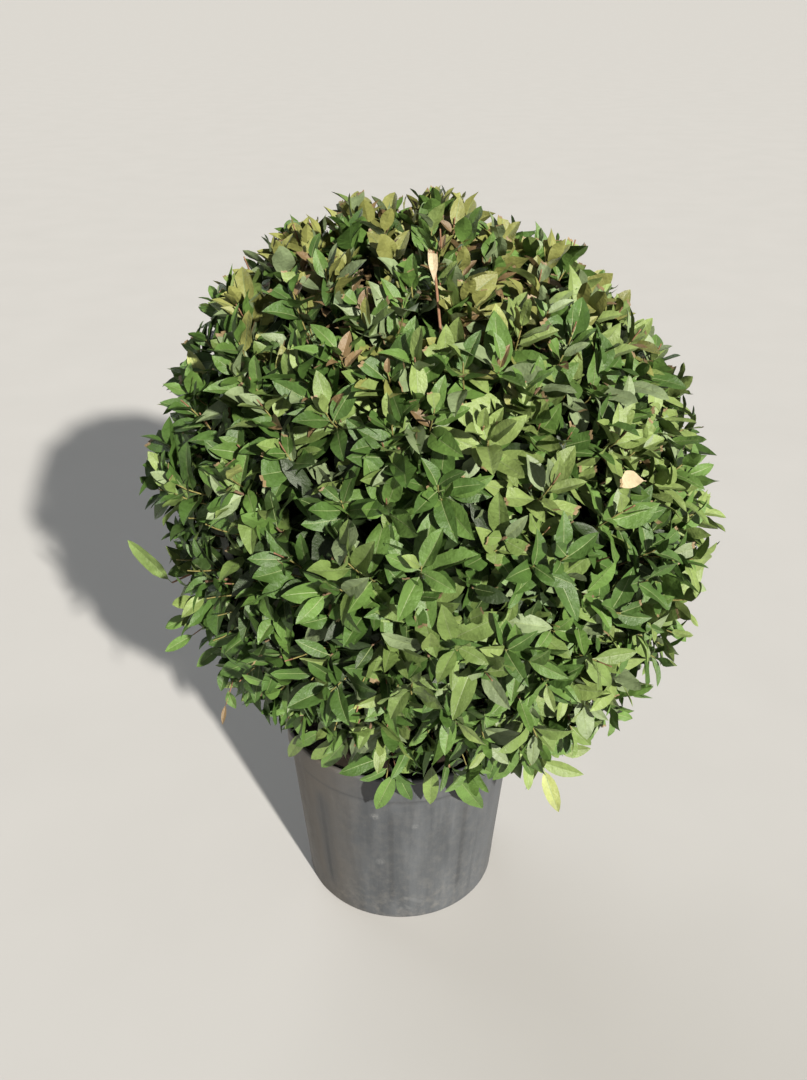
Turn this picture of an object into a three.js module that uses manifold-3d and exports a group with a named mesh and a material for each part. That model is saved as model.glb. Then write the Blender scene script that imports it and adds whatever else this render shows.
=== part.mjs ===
// A bay shrub clipped to a ball, on a short hidden stem, in a plain dark-grey nursery pot.
// Sizes are in millimetres and up is +Z. The origin is the middle of the pot's flat underside.
// Seen from the front, that is along +Y, the right-hand side is +X.
// The soil fills the pot, and the short stem stands on it and forks into five boughs. They end
// where they enter the ball, which is one clipped mass of twigs and leaves round a dense core.

import * as THREE from 'three';
import { mergeVertices } from 'three/addons/utils/BufferGeometryUtils.js';
import Module from 'manifold-3d';

const wasm = await Module();
wasm.setup();

// Gaps: between two pieces that rest on each other or were cut from one another
const GAP = 0.3;

// Pot: a tapered tub with shallow upright grooves, and a band under its rolled rim
const POT_HEIGHT = 350;
const POT_FOOT_RADIUS = 174;
const POT_BODY_RADIUS = 200;
const POT_WALL = 3.5;
const POT_FLOOR = 4;
const BAND_FOOT = 298;
const BAND_RADIUS = 204;
const RIM_RADIUS = 208;
const RIM_DEPTH = 9;
const FOOT_CHAMFER = 3;
const GROOVES = 9;
const GROOVE_TURN = -95;
const GROOVE_DEPTH = 1.6;
const GROOVE_FROM = 34;
const GROOVE_TO = 276;
const GROOVE_FADE = 16;
const DRAIN_HOLES = 8;
const DRAIN_RADIUS = 9;
const DRAIN_RING = 138;
const DRAIN_SIDES = 8;
const ROUND_SEGMENTS = 72;

// Soil: fills the pot to a little below the rim, level round the trunk and lumpy elsewhere
const SOIL_TOP = 322;
const SOIL_LUMP = 4;
const SOIL_LEVEL_RADIUS = 62;

// Trunk: from its flat cut on the soil to the fork, with a slight lean and a root flare
const TRUNK_FOOT = new THREE.Vector3(6, 4, SOIL_TOP + GAP);
const TRUNK_FORK = new THREE.Vector3(20, 1, 428);
const TRUNK_FOOT_RADIUS = 27;
const TRUNK_FORK_RADIUS = 22;
const FLARE_SPREAD = 13;
const FLARE_HEIGHT = 0.22;
const FLARE_LOBES = 5;

// Ball: the reach of the clipped leaves round its middle
const BALL_CENTRE = new THREE.Vector3(38, 0, 770);
const BALL_WIDE = 449;
const BALL_TALL = 464;

// Clipping left the ball a little fuller or flatter in places. Turn is counted from +X
// towards +Y and rise from level, in degrees; by is the share of the reach that it adds.
const SWELLS = [
  { place: 'flat shoulder behind on the right', turn: 33, rise: 46, by: -0.066 },
  { place: 'full top at the back', turn: 90, rise: 62, by: 0.042 },
  { place: 'full shoulder behind on the left', turn: 147, rise: 46, by: 0.022 },
  { place: 'left flank', turn: 171, rise: 16, by: -0.021 },
  { place: 'left flank below', turn: 189, rise: -16, by: -0.025 },
  { place: 'drawn in below on the left', turn: 213, rise: -46, by: -0.037 },
  { place: 'full in front below', turn: 270, rise: -62, by: 0.02 },
  { place: 'full below on the right', turn: 327, rise: -46, by: 0.058 },
  { place: 'full right flank', turn: 351, rise: -16, by: 0.045 },
];
const SWELL_SPREAD = 0.1;

// Skirt: all round, the lowest leaves hang over the pot's rim
const SKIRT_RISE = -61;
const SKIRT_BY = 0.1;
const SKIRT_SPREAD = 8;
const SKIRT_SHOOTS = 14;
const SKIRT_SHOOT_RISE = -50;
const SKIRT_SHOOT_SHARE = 0.86;
const SKIRT_LEAVES = 3;
const SKIRT_LEAF_LENGTH = 118;

// Boughs: the leader goes up from the fork, and the others leave the trunk's side, each at
// its own turn, and end at the wall of the hollow under the ball
const LEADER_TIP = new THREE.Vector3(36, 0, 612);
const LEADER_FOOT_RADIUS = 20;
const LEADER_TIP_RADIUS = 11;
const BOUGH_FOOT_HEIGHT = 362;
const BOUGH_FOOT_RADIUS = 12;
const BOUGH_TIP_RADIUS = 7.5;
const SIDE_BOUGHS = [
  { side: 'front', turn: 262, out: 112, height: 530 },
  { side: 'right', turn: 338, out: 118, height: 552 },
  { side: 'back', turn: 68, out: 112, height: 538 },
  { side: 'left', turn: 172, out: 114, height: 560 },
];

// Hollow under the ball, where the boughs stand and no leaves grow
const HOLLOW_CENTRE_X = 30;
const HOLLOW_SIDES = 12;
const HOLLOW = [
  [0, 340],
  [128, 340],
  [140, 440],
  [136, 540],
  [96, 612],
  [0, 646],
];

// Foliage: shoots spread evenly over the ball, each with a few leaves at its end. Shares are
// of the reach in that direction, and a leaf's touch is how much of it may lie in another.
const SEED = 1825;
const SHOOTS = 65;
const CORE_SHARE = 0.84;
const CORE_LUMP = 8;
const CORE_DETAIL = 4;
const STEM_SHARE = 0.62;
const STEM_TIP_RADIUS = 5;
const STUB_LENGTH = 60;
const SHOOT_SHARE = 0.9;
const SHOOT_RADIUS = 3.2;
const SHOOT_TIP_RADIUS = 1.8;
const SHOOT_SLOPE = 0.6;
const SHOOT_LEAST_RISE = 280;
const LEAVES_ON_A_SHOOT = 6;
const LEAFY_LENGTH = 24;
const LEAF_LENGTH = 124;
const LEAF_WIDTH = 58;
const LEAF_THICKNESS = 2.6;
const LEAF_FOLD = 0.16;
const LEAF_DROOP = 0.12;
const LEAF_SIZES = [1.1, 1, 0.9, 0.8, 0.7];
const LEAF_TOUCH = 0.5;

// A few long leaves and a thin shoot that the shears missed, past the ball's reach
const STRAYS = [
  { place: 'shoot of the long leaf on the left', turn: 189, rise: -17, beyond: 30 },
  { place: 'thin shoot below on the left', turn: 208, rise: -41, beyond: 48 },
  { place: 'hanging sprig below on the right', turn: 311, rise: -54, beyond: 52 },
];
const STRAY_LEAF_LENGTH = 112;

// The long leaf on the left points up and away from the end of its shoot
const LONG_LEAF_TIP = new THREE.Vector3(-438, -34, 703);
const LONG_LEAF_WIDTH = 36;
const LONG_LEAF_HOLD = 7;

// Colours
const POT_GREY = 0x5b5c5e;
const SOIL_BROWN = 0x3a2a20;
const BARK_BROWN = 0x6b5443;
const LEAF_GREEN = 0x4c7733;

const GOLDEN_TURN = Math.PI * (3 - Math.sqrt(5));

// Joining: how far a face may move when needless corners are dropped, and how near two
// corners may come
const SMOOTHING = 0.05;
const HAIR = 0.001;
const ATTEMPTS = 6;

// Even chance numbers from 0 to 1, the same run for the same seed
function chances(seed) {
  let state = seed;
  return () => {
    state = (state * 1664525 + 1013904223) % 4294967296;
    return state / 4294967296;
  };
}

function direction(turn, rise) {
  const level = THREE.MathUtils.degToRad(turn);
  const up = THREE.MathUtils.degToRad(rise);
  return new THREE.Vector3(
    Math.cos(up) * Math.cos(level),
    Math.cos(up) * Math.sin(level),
    Math.sin(up),
  );
}

// Two directions square to one another and to the given one
function sideways(along) {
  const helper = Math.abs(along.z) > 0.9 ? new THREE.Vector3(1, 0, 0) : new THREE.Vector3(0, 0, 1);
  const first = new THREE.Vector3().crossVectors(helper, along).normalize();
  const second = new THREE.Vector3().crossVectors(first, along);
  return [first, second];
}

// Leaves only the corners' places, so that corners in the same place can be merged
function bare(geometry) {
  geometry.deleteAttribute('normal');
  geometry.deleteAttribute('uv');
  return geometry;
}

// Turns a closed geometry into a solid for joining and cutting
function toSolid(geometry, weld = 1e-4) {
  const closed = mergeVertices(bare(geometry), weld);
  return new wasm.Manifold(new wasm.Mesh({
    numProp: 3,
    vertProperties: new Float32Array(closed.attributes.position.array),
    triVerts: new Uint32Array(closed.index.array),
  }));
}

function toMesh(name, solid, colour, roughness) {
  const data = solid.getMesh();
  const geometry = new THREE.BufferGeometry();
  geometry.setAttribute('position', new THREE.BufferAttribute(data.vertProperties, 3));
  geometry.setIndex(new THREE.BufferAttribute(data.triVerts, 1));
  geometry.computeVertexNormals();
  const material = new THREE.MeshStandardMaterial({ color: colour, roughness, metalness: 0 });
  const mesh = new THREE.Mesh(geometry, material);
  mesh.name = name;
  return mesh;
}

// Moves every corner of a geometry by a rule
function reshape(geometry, rule) {
  const position = geometry.attributes.position;
  const corner = new THREE.Vector3();
  for (let i = 0; i < position.count; i += 1) {
    corner.fromBufferAttribute(position, i);
    rule(corner);
    position.setXYZ(i, corner.x, corner.y, corner.z);
  }
  return geometry;
}

// Solid of revolution about the upright axis, from [radius, height] steps
function turned(steps, segments) {
  const profile = steps.map(([radius, height]) => new THREE.Vector2(radius, height));
  return new THREE.LatheGeometry(profile, segments).rotateX(Math.PI / 2);
}

// A limb: a round rod along a path whose radius is worked out from the share of its length
// and from the turn round it
function limb(path, radiusAt, sides, rings) {
  const rod = mergeVertices(bare(new THREE.CylinderGeometry(1, 1, 1, sides, rings)), 1e-4);
  return reshape(rod, (corner) => {
    const share = Math.min(1, Math.max(0, corner.y + 0.5));
    const along = path.getTangent(share);
    const [first] = sideways(along);
    const second = new THREE.Vector3().crossVectors(first, along);
    const radius = radiusAt(share, Math.atan2(corner.z, corner.x));
    const point = path.getPoint(share);
    point.addScaledVector(first, corner.x * radius);
    point.addScaledVector(second, corner.z * radius);
    corner.copy(point);
  });
}

// Pot
function bodyRadius(height) {
  return POT_FOOT_RADIUS + (POT_BODY_RADIUS - POT_FOOT_RADIUS) * (height / BAND_FOOT);
}

function grooveDepth(turn, height) {
  const rise = Math.min(1, Math.max(0, (height - GROOVE_FROM) / GROOVE_FADE));
  const fall = Math.min(1, Math.max(0, (GROOVE_TO - height) / GROOVE_FADE));
  const away = turn - THREE.MathUtils.degToRad(GROOVE_TURN);
  const wave = Math.max(0, Math.cos(GROOVES * away));
  return GROOVE_DEPTH * Math.min(rise, fall) * wave ** 3;
}

function pot() {
  const rimInside = RIM_RADIUS - 4 - POT_WALL;
  const outside = [
    [0, 0],
    [POT_FOOT_RADIUS - FOOT_CHAMFER, 0],
    [bodyRadius(FOOT_CHAMFER), FOOT_CHAMFER],
    [bodyRadius(GROOVE_FROM), GROOVE_FROM],
    [bodyRadius(GROOVE_FROM + GROOVE_FADE), GROOVE_FROM + GROOVE_FADE],
    [bodyRadius(GROOVE_TO - GROOVE_FADE), GROOVE_TO - GROOVE_FADE],
    [bodyRadius(GROOVE_TO), GROOVE_TO],
    [POT_BODY_RADIUS, BAND_FOOT],
    [BAND_RADIUS, BAND_FOOT + 3],
    [RIM_RADIUS - 4, POT_HEIGHT - RIM_DEPTH],
    [RIM_RADIUS, POT_HEIGHT - RIM_DEPTH + 3],
    [RIM_RADIUS - 1, POT_HEIGHT - 1],
  ];
  const inside = [
    [rimInside, POT_HEIGHT],
    [BAND_RADIUS - POT_WALL, BAND_FOOT + 3],
    [POT_BODY_RADIUS - POT_WALL, BAND_FOOT],
    [bodyRadius(POT_FLOOR) - POT_WALL, POT_FLOOR],
    [0, POT_FLOOR],
  ];
  const shell = turned([...outside, ...inside], ROUND_SEGMENTS);
  reshape(shell, (corner) => {
    const radius = Math.hypot(corner.x, corner.y);
    if (radius > bodyRadius(corner.z) - 1) {
      const turn = Math.atan2(corner.y, corner.x);
      const share = (radius - grooveDepth(turn, corner.z)) / radius;
      corner.x *= share;
      corner.y *= share;
    }
  });
  let solid = toSolid(shell);
  for (let hole = 0; hole < DRAIN_HOLES; hole += 1) {
    const turn = (hole + 0.5) * (2 * Math.PI / DRAIN_HOLES);
    const bore = new THREE.CylinderGeometry(DRAIN_RADIUS, DRAIN_RADIUS, 4 * POT_FLOOR, DRAIN_SIDES);
    bore.rotateX(Math.PI / 2);
    bore.translate(DRAIN_RING * Math.cos(turn), DRAIN_RING * Math.sin(turn), 0);
    solid = solid.subtract(toSolid(bore));
  }
  return solid;
}

// Soil: its side follows the pot's inner wall
function soil() {
  const clear = POT_WALL + GAP;
  const lip = RIM_RADIUS - 4 - BAND_RADIUS;
  const share = (SOIL_TOP - BAND_FOOT - 3) / (POT_HEIGHT - BAND_FOOT - 3);
  const edge = BAND_RADIUS + lip * share - clear;
  const steps = [
    [0, POT_FLOOR + GAP],
    [bodyRadius(POT_FLOOR + GAP) - clear, POT_FLOOR + GAP],
    [POT_BODY_RADIUS - clear, BAND_FOOT],
    [BAND_RADIUS - clear, BAND_FOOT + 3],
    [edge, SOIL_TOP],
    [edge * 0.74, SOIL_TOP + 1],
    [edge * 0.5, SOIL_TOP + 1],
    [SOIL_LEVEL_RADIUS, SOIL_TOP],
    [0, SOIL_TOP],
  ];
  const heap = turned(steps, ROUND_SEGMENTS);
  return toSolid(reshape(heap, (corner) => {
    if (corner.z > SOIL_TOP + 0.5) {
      const turn = Math.atan2(corner.y, corner.x);
      const radius = Math.hypot(corner.x, corner.y);
      const lump = Math.sin(5 * turn + radius * 0.06) * Math.cos(3 * turn - radius * 0.04);
      corner.z = SOIL_TOP + SOIL_LUMP * 0.5 * (lump - 0.4);
    }
  }));
}

// Trunk: grow adds to its radius, for cutting the feet of the boughs clear of it
function trunk(grow) {
  const middle = TRUNK_FOOT.clone().lerp(TRUNK_FORK, 0.5).add(new THREE.Vector3(-5, 3, 0));
  const path = new THREE.QuadraticBezierCurve3(TRUNK_FOOT, middle, TRUNK_FORK);
  const rod = limb(path, (share, turn) => {
    const taper = THREE.MathUtils.lerp(TRUNK_FOOT_RADIUS, TRUNK_FORK_RADIUS, share);
    const flare = Math.exp(-share / FLARE_HEIGHT);
    const lobes = 0.7 + 0.3 * Math.cos(FLARE_LOBES * turn);
    return taper + FLARE_SPREAD * flare * lobes + grow;
  }, 15, 7);
  const level = [[0, TRUNK_FOOT.z], [150, TRUNK_FOOT.z], [150, TRUNK_FORK.z], [0, TRUNK_FORK.z]];
  return toSolid(rod).intersect(toSolid(turned(level, 12)));
}

// Ball: the reach of its plain shape with the swells, and of the leaves with the skirt too
function coreReach(aim) {
  const level = Math.hypot(aim.x, aim.y) / BALL_WIDE;
  let share = 1 / Math.hypot(level, aim.z / BALL_TALL);
  for (const swell of SWELLS) {
    const away = 1 - aim.dot(direction(swell.turn, swell.rise));
    share *= 1 + swell.by * Math.exp(-away / SWELL_SPREAD);
  }
  return share;
}

function reach(aim) {
  const rise = THREE.MathUtils.radToDeg(Math.asin(THREE.MathUtils.clamp(aim.z, -1, 1)));
  const skirt = SKIRT_BY * Math.exp(-(((rise - SKIRT_RISE) / SKIRT_SPREAD) ** 2));
  return coreReach(aim) * (1 + skirt);
}

function onBall(aim, share) {
  return BALL_CENTRE.clone().addScaledVector(aim, share * reach(aim));
}

function insideBall(point, beyond) {
  const away = point.clone().sub(BALL_CENTRE);
  const distance = away.length();
  return distance <= reach(away.normalize()) + beyond;
}

const HOLLOW_ROOM = toSolid(turned(HOLLOW, HOLLOW_SIDES).translate(HOLLOW_CENTRE_X, 0, 0));

// Core of the ball: the dense inside of the clipped foliage, a little lumpy
function ballCore() {
  const ball = new THREE.IcosahedronGeometry(1, CORE_DETAIL);
  reshape(ball, (corner) => {
    const aim = corner.clone().normalize();
    const lump = Math.sin(7 * aim.x + 2) * Math.sin(6 * aim.y + 1) * Math.sin(8 * aim.z);
    const plain = BALL_CENTRE.clone().addScaledVector(aim, CORE_SHARE * coreReach(aim));
    corner.copy(plain).addScaledVector(aim, CORE_LUMP * lump);
  });
  return toSolid(ball).subtract(HOLLOW_ROOM);
}

// Leaf: eight faces, folded a little along its rib, with its tip bent down
const LEAF_BLANK = mergeVertices(bare(new THREE.OctahedronGeometry(1, 0)), 1e-4);

function leafCorners(root, forward, face, length, width) {
  const side = new THREE.Vector3().crossVectors(face, forward);
  const blank = LEAF_BLANK.clone();
  reshape(blank, (corner) => {
    const along = 0.46 * length * (corner.x === 0 ? 1 : 0) + length * Math.max(0, corner.x);
    const across = corner.y * width / 2;
    const fold = Math.abs(corner.y) * LEAF_FOLD * width / 2;
    const bend = -LEAF_DROOP * length * Math.max(0, corner.x);
    const lift = fold + bend + corner.z * LEAF_THICKNESS / 2;
    corner.copy(root);
    corner.addScaledVector(forward, along);
    corner.addScaledVector(side, across);
    corner.addScaledVector(face, lift);
  });
  return blank;
}

function everyCorner(geometry, test) {
  const position = geometry.attributes.position;
  const corner = new THREE.Vector3();
  for (let i = 0; i < position.count; i += 1) {
    if (!test(corner.fromBufferAttribute(position, i))) return false;
  }
  return true;
}

// Room that the pot and its soil take up, with a little air round them
const POT_ROOM = toSolid(turned([
  [0, -5],
  [POT_FOOT_RADIUS + 6, -5],
  [RIM_RADIUS + 5, BAND_FOOT],
  [RIM_RADIUS + 5, POT_HEIGHT + 5],
  [0, POT_HEIGHT + 5],
], 30));

const CLOSED_ROOMS = POT_ROOM.add(HOLLOW_ROOM);

function clearOfRooms(solid) {
  return solid.intersect(CLOSED_ROOMS).isEmpty();
}

// Turns to try for a leaf: its own first, then further and further away to both sides
const TURNS_TO_TRY = [0];
for (let step = 1; step <= 8; step += 1) TURNS_TO_TRY.push(step * 0.38, -step * 0.38);

// Leaves placed so far, each with the box round it
const placedLeaves = [];

function boxOf(solid) {
  const { min, max } = solid.boundingBox();
  return new THREE.Box3(new THREE.Vector3(...min), new THREE.Vector3(...max));
}

function clearOfLeaves(solid, box) {
  return placedLeaves.every((leaf) => !leaf.box.intersectsBox(box)
    || leaf.solid.intersect(solid).volume() < LEAF_TOUCH);
}

// Places one leaf: the largest size at the nearest turn that stays inside the reach and
// cuts through no other leaf
function placeLeaf(root, along, turn, opening, slim, beyond, leafLength) {
  const [first, second] = sideways(along);
  const inReach = (corner) => insideBall(corner, beyond);
  for (const shift of TURNS_TO_TRY) {
    const forward = along.clone().multiplyScalar(Math.cos(opening));
    forward.addScaledVector(first, Math.sin(opening) * Math.cos(turn + shift));
    forward.addScaledVector(second, Math.sin(opening) * Math.sin(turn + shift));
    forward.normalize();
    const face = along.clone().addScaledVector(forward, -along.dot(forward)).normalize();
    for (const size of LEAF_SIZES) {
      const width = size * LEAF_WIDTH * slim;
      const blade = leafCorners(root, forward, face, size * leafLength, width);
      if (everyCorner(blade, inReach)) {
        const solid = toSolid(blade);
        const box = boxOf(solid);
        if (clearOfRooms(solid) && clearOfLeaves(solid, box)) {
          placedLeaves.push({ solid, box });
          return solid;
        }
      }
    }
  }
  return null;
}

// The turn round a shoot that points most nearly straight down
function downTurn(along) {
  const [first, second] = sideways(along);
  return Math.atan2(-second.z, -first.z);
}

// Shoot: a three-sided twig out through the core, and its leaves. It starts from the first of
// the given places on the mass's wood from which it does not cross the hollow.
function shoot(starts, end, beyond, chance, leafLength, leafCount, hangs = false) {
  const radiusAt = (share) => THREE.MathUtils.lerp(SHOOT_RADIUS, SHOOT_TIP_RADIUS, share);
  const twigFrom = (place) => toSolid(limb(new THREE.LineCurve3(place, end), radiusAt, 3, 1));
  const start = starts.find((place) => clearOfRooms(twigFrom(place)));
  const firstTurn = chance() * 2 * Math.PI;
  if (!start) return { twigs: [], leaves: [] };
  const path = new THREE.LineCurve3(start, end);
  const twig = twigFrom(start);
  const leaves = [];
  const length = start.distanceTo(end);
  const along = end.clone().sub(start).normalize();
  for (let k = 0; k < leafCount; k += 1) {
    const rank = k / (leafCount - 1);
    const root = path.getPoint(1 - (3 + (1 - rank) * LEAFY_LENGTH) / length);
    const turn = hangs ? downTurn(along) + 0.7 * (k - 1) : firstTurn + k * GOLDEN_TURN;
    const opening = THREE.MathUtils.degToRad(84 - 34 * rank + 10 * (chance() - 0.5));
    const slim = 0.9 + 0.2 * chance();
    const leaf = placeLeaf(root, along, turn, opening, slim, beyond, leafLength);
    if (leaf) leaves.push(leaf);
  }
  return leaves.length > 0 ? { twigs: [twig], leaves } : { twigs: [], leaves };
}

// The largest body of a solid: this drops loose scraps and fills hollows that joining sealed
function largestBody(solid) {
  const bodies = solid.decompose();
  bodies.sort((one, other) => other.volume() - one.volume());
  return bodies[0];
}

// Places where more than two faces meet along an edge, once corners in one place are merged
function pinches(geometry) {
  const merged = mergeVertices(geometry, HAIR);
  const { array } = merged.index;
  const facesAt = new Map();
  for (let i = 0; i < array.length; i += 1) {
    const next = i % 3 === 2 ? i - 2 : i + 1;
    const edge = [array[i], array[next]].sort((one, other) => one - other).join();
    facesAt.set(edge, [...(facesAt.get(edge) ?? []), array[i]]);
  }
  const crowded = [...facesAt.values()].filter((corners) => corners.length !== 2).flat();
  const { position } = merged.attributes;
  return crowded.map((corner) => new THREE.Vector3().fromBufferAttribute(position, corner));
}

// Joins the pieces of a mass, and merges corners nearer than a hair to one another. A leaf
// that pinches an edge of the mass is left out.
function joined(wood, leaves) {
  let kept = leaves;
  for (let attempt = 0; attempt < ATTEMPTS; attempt += 1) {
    const whole = wasm.Manifold.union([...wood, ...kept]).simplify(SMOOTHING);
    const data = largestBody(whole).getMesh();
    const geometry = new THREE.BufferGeometry();
    geometry.setAttribute('position', new THREE.BufferAttribute(data.vertProperties, 3));
    geometry.setIndex(new THREE.BufferAttribute(data.triVerts, 1));
    const places = pinches(geometry);
    if (places.length === 0) return largestBody(toSolid(geometry, HAIR));
    const touches = (leaf) => places.some((place) => boxOf(leaf).containsPoint(place));
    kept = kept.filter((leaf) => !touches(leaf));
  }
  throw new Error('the joined mass still has a pinched edge');
}

const group = new THREE.Group();
group.add(toMesh('pot', pot(), POT_GREY, 0.6));
group.add(toMesh('potting_soil', soil(), SOIL_BROWN, 0.95));
group.add(toMesh('trunk', trunk(0), BARK_BROWN, 0.85));

// Leader: from the fork up to the mass's own stem
const leaderFoot = TRUNK_FORK.clone().add(new THREE.Vector3(0, 0, GAP));
const leaderBend = leaderFoot.clone().lerp(LEADER_TIP, 0.5).add(new THREE.Vector3(-6, 4, 0));
const leaderPath = new THREE.QuadraticBezierCurve3(leaderFoot, leaderBend, LEADER_TIP);
const leaderTaper = (share) => {
  return THREE.MathUtils.lerp(LEADER_FOOT_RADIUS, LEADER_TIP_RADIUS, share);
};
const leader = toSolid(limb(leaderPath, leaderTaper, 8, 5)).trimByPlane([0, 0, 1], leaderFoot.z);
group.add(toMesh('bough_leader', leader, BARK_BROWN, 0.85));

// The mass's stem goes on from the leader's tip to high in the ball
const onward = leaderPath.getTangent(1);
const stemFoot = LEADER_TIP.clone().addScaledVector(onward, GAP);
const stemTip = onBall(new THREE.Vector3(0, 0, 1), STEM_SHARE);
const stemBend = stemFoot.clone().addScaledVector(onward, 120);
const stemPath = new THREE.QuadraticBezierCurve3(stemFoot, stemBend, stemTip);
const stemRadius = (share) => THREE.MathUtils.lerp(LEADER_TIP_RADIUS, STEM_TIP_RADIUS, share);
const wood = [ballCore(), toSolid(limb(stemPath, stemRadius, 8, 4))];
const leaves = [];
const stubTips = [];

// Side boughs, and the stub of the mass's wood that each one meets
const trunkRoom = trunk(GAP);
for (const bough of SIDE_BOUGHS) {
  const level = direction(bough.turn, 0);
  const foot = new THREE.Vector3(10, 2, BOUGH_FOOT_HEIGHT);
  const tip = new THREE.Vector3(HOLLOW_CENTRE_X, 0, bough.height);
  tip.addScaledVector(level, bough.out);
  const bend = foot.clone().addScaledVector(level, 84).add(new THREE.Vector3(0, 0, 62));
  const path = new THREE.QuadraticBezierCurve3(foot, bend, tip);
  const taper = (share) => THREE.MathUtils.lerp(BOUGH_FOOT_RADIUS, BOUGH_TIP_RADIUS, share);
  const rod = toSolid(limb(path, taper, 8, 6)).subtract(trunkRoom);
  group.add(toMesh('bough_' + bough.side, largestBody(rod), BARK_BROWN, 0.85));
  const outward = path.getTangent(1);
  const stubFoot = tip.clone().addScaledVector(outward, GAP);
  const stubTip = tip.clone().addScaledVector(outward, STUB_LENGTH);
  const stub = new THREE.LineCurve3(stubFoot, stubTip);
  wood.push(toSolid(limb(stub, () => BOUGH_TIP_RADIUS, 6, 1)));
  stubTips.push(stub.getPoint(0.9));
}

// Shoots spread evenly over the ball; each leaves the stem below the height that it reaches,
// or the nearest stub where the hollow lies between
function startsFor(end) {
  const out = Math.hypot(end.x - stemTip.x, end.y - stemTip.y);
  const rise = Math.max(out * SHOOT_SLOPE, SHOOT_LEAST_RISE);
  const from = THREE.MathUtils.clamp(end.z - rise, stemFoot.z + 60, stemTip.z);
  const onStem = stemPath.getPoint((from - stemFoot.z) / (stemTip.z - stemFoot.z));
  const near = [...stubTips].sort((one, other) => one.distanceTo(end) - other.distanceTo(end));
  return [onStem, ...near];
}

const chance = chances(SEED);
for (let i = 0; i < SHOOTS; i += 1) {
  const height = 1 - 2 * (i + 0.5) / SHOOTS;
  const level = Math.sqrt(1 - height * height);
  const turn = i * GOLDEN_TURN;
  const aim = new THREE.Vector3(level * Math.cos(turn), level * Math.sin(turn), height);
  const wander = new THREE.Vector3(chance() - 0.5, chance() - 0.5, chance() - 0.5);
  const end = onBall(aim.addScaledVector(wander, 0.08).normalize(), SHOOT_SHARE);
  const grown = shoot(startsFor(end), end, 0, chance, LEAF_LENGTH, LEAVES_ON_A_SHOOT);
  wood.push(...grown.twigs);
  leaves.push(...grown.leaves);
}
for (let i = 0; i < SKIRT_SHOOTS; i += 1) {
  const turn = (i + 0.5 * chance()) * 360 / SKIRT_SHOOTS;
  const end = onBall(direction(turn, SKIRT_SHOOT_RISE), SKIRT_SHOOT_SHARE);
  const grown = shoot(startsFor(end), end, 0, chance, SKIRT_LEAF_LENGTH, SKIRT_LEAVES, true);
  wood.push(...grown.twigs);
  leaves.push(...grown.leaves);
}
for (const stray of STRAYS) {
  const end = onBall(direction(stray.turn, stray.rise), 0.9);
  const grown = shoot(startsFor(end), end, stray.beyond, chance, STRAY_LEAF_LENGTH, 3);
  wood.push(...grown.twigs);
  leaves.push(...grown.leaves);
}

// Long leaf on the left, from the end of the first stray shoot
const longRoot = onBall(direction(STRAYS[0].turn, STRAYS[0].rise), 0.9);
const longWay = LONG_LEAF_TIP.clone().sub(longRoot).normalize();
longRoot.addScaledVector(longWay, -LONG_LEAF_HOLD);
const longLength = LONG_LEAF_TIP.distanceTo(longRoot);
const upright = new THREE.Vector3(0, 0, 1);
const longFace = upright.addScaledVector(longWay, -longWay.z).normalize();
leaves.push(toSolid(leafCorners(longRoot, longWay, longFace, longLength, LONG_LEAF_WIDTH)));

group.add(toMesh('foliage', joined(wood, leaves), LEAF_GREEN, 0.6));

export default group;
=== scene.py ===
# %% [markdown]
# # A bay shrub clipped to a ball, in a nursery pot
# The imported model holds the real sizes: a pot, its soil, a short trunk with five boughs, and one
# clipped mass of foliage. This lesson puts the finish on it. The pot, the soil and the wood are
# remodelled with more relief, and the foliage is grown again from the same seeded rule, down to
# single leaves. Lengths are in metres, up is +Z, and the front of the plant faces -Y.

import math

import bmesh
import bpy
import numpy as np
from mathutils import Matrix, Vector


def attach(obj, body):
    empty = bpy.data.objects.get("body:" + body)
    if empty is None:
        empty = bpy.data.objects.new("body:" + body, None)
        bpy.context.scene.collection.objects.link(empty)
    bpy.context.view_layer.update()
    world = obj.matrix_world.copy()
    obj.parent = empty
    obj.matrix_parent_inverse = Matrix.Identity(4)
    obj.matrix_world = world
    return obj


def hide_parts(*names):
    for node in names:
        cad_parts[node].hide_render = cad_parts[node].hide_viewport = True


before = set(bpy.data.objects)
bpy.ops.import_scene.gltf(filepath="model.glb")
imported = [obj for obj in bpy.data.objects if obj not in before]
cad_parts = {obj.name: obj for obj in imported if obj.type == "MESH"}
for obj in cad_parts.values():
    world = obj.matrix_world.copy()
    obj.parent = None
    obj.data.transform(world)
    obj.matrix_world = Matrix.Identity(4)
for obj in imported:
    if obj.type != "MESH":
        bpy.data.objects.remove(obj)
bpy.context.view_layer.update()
scene = bpy.context.scene
print("nodes:", ", ".join(sorted(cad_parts)))

# %% [markdown]
# ## Camera
# The plant was seen from a step away and from standing height, looking down at it. A camera can
# be aimed with a constraint or by hand. Here its place and tilt are known numbers, so it simply
# gets them. The long side of the picture is 36 mm of film, which the lens length refers to.

# %% Camera
CAMERA_PLACE = (0, -1.5, 1.48)
CAMERA_DOWN = 28
CAMERA_RIGHT = 0.22
CAMERA_LENS = 34.33
CAMERA_SEES_TO = 2000

bpy.ops.object.camera_add(
    location=CAMERA_PLACE,
    rotation=(math.radians(90 - CAMERA_DOWN), 0, math.radians(-CAMERA_RIGHT)),
)
camera = bpy.context.object
camera.name = "standing_view"
camera.data.lens = CAMERA_LENS
camera.data.clip_end = CAMERA_SEES_TO
scene.camera = camera
print("camera looks down by", CAMERA_DOWN, "degrees from", CAMERA_PLACE[2], "m up")

# %% [markdown]
# ## Writing finishes as sums
# A material is a small program of nodes. Wiring them by hand in code hides what they do, so one
# class wraps an output socket and lets it be added, taken away, multiplied and divided like a
# number, and a second class makes every other node. A finish then reads like the sentence that
# describes it.

# %% Sockets that can be reckoned with


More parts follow.
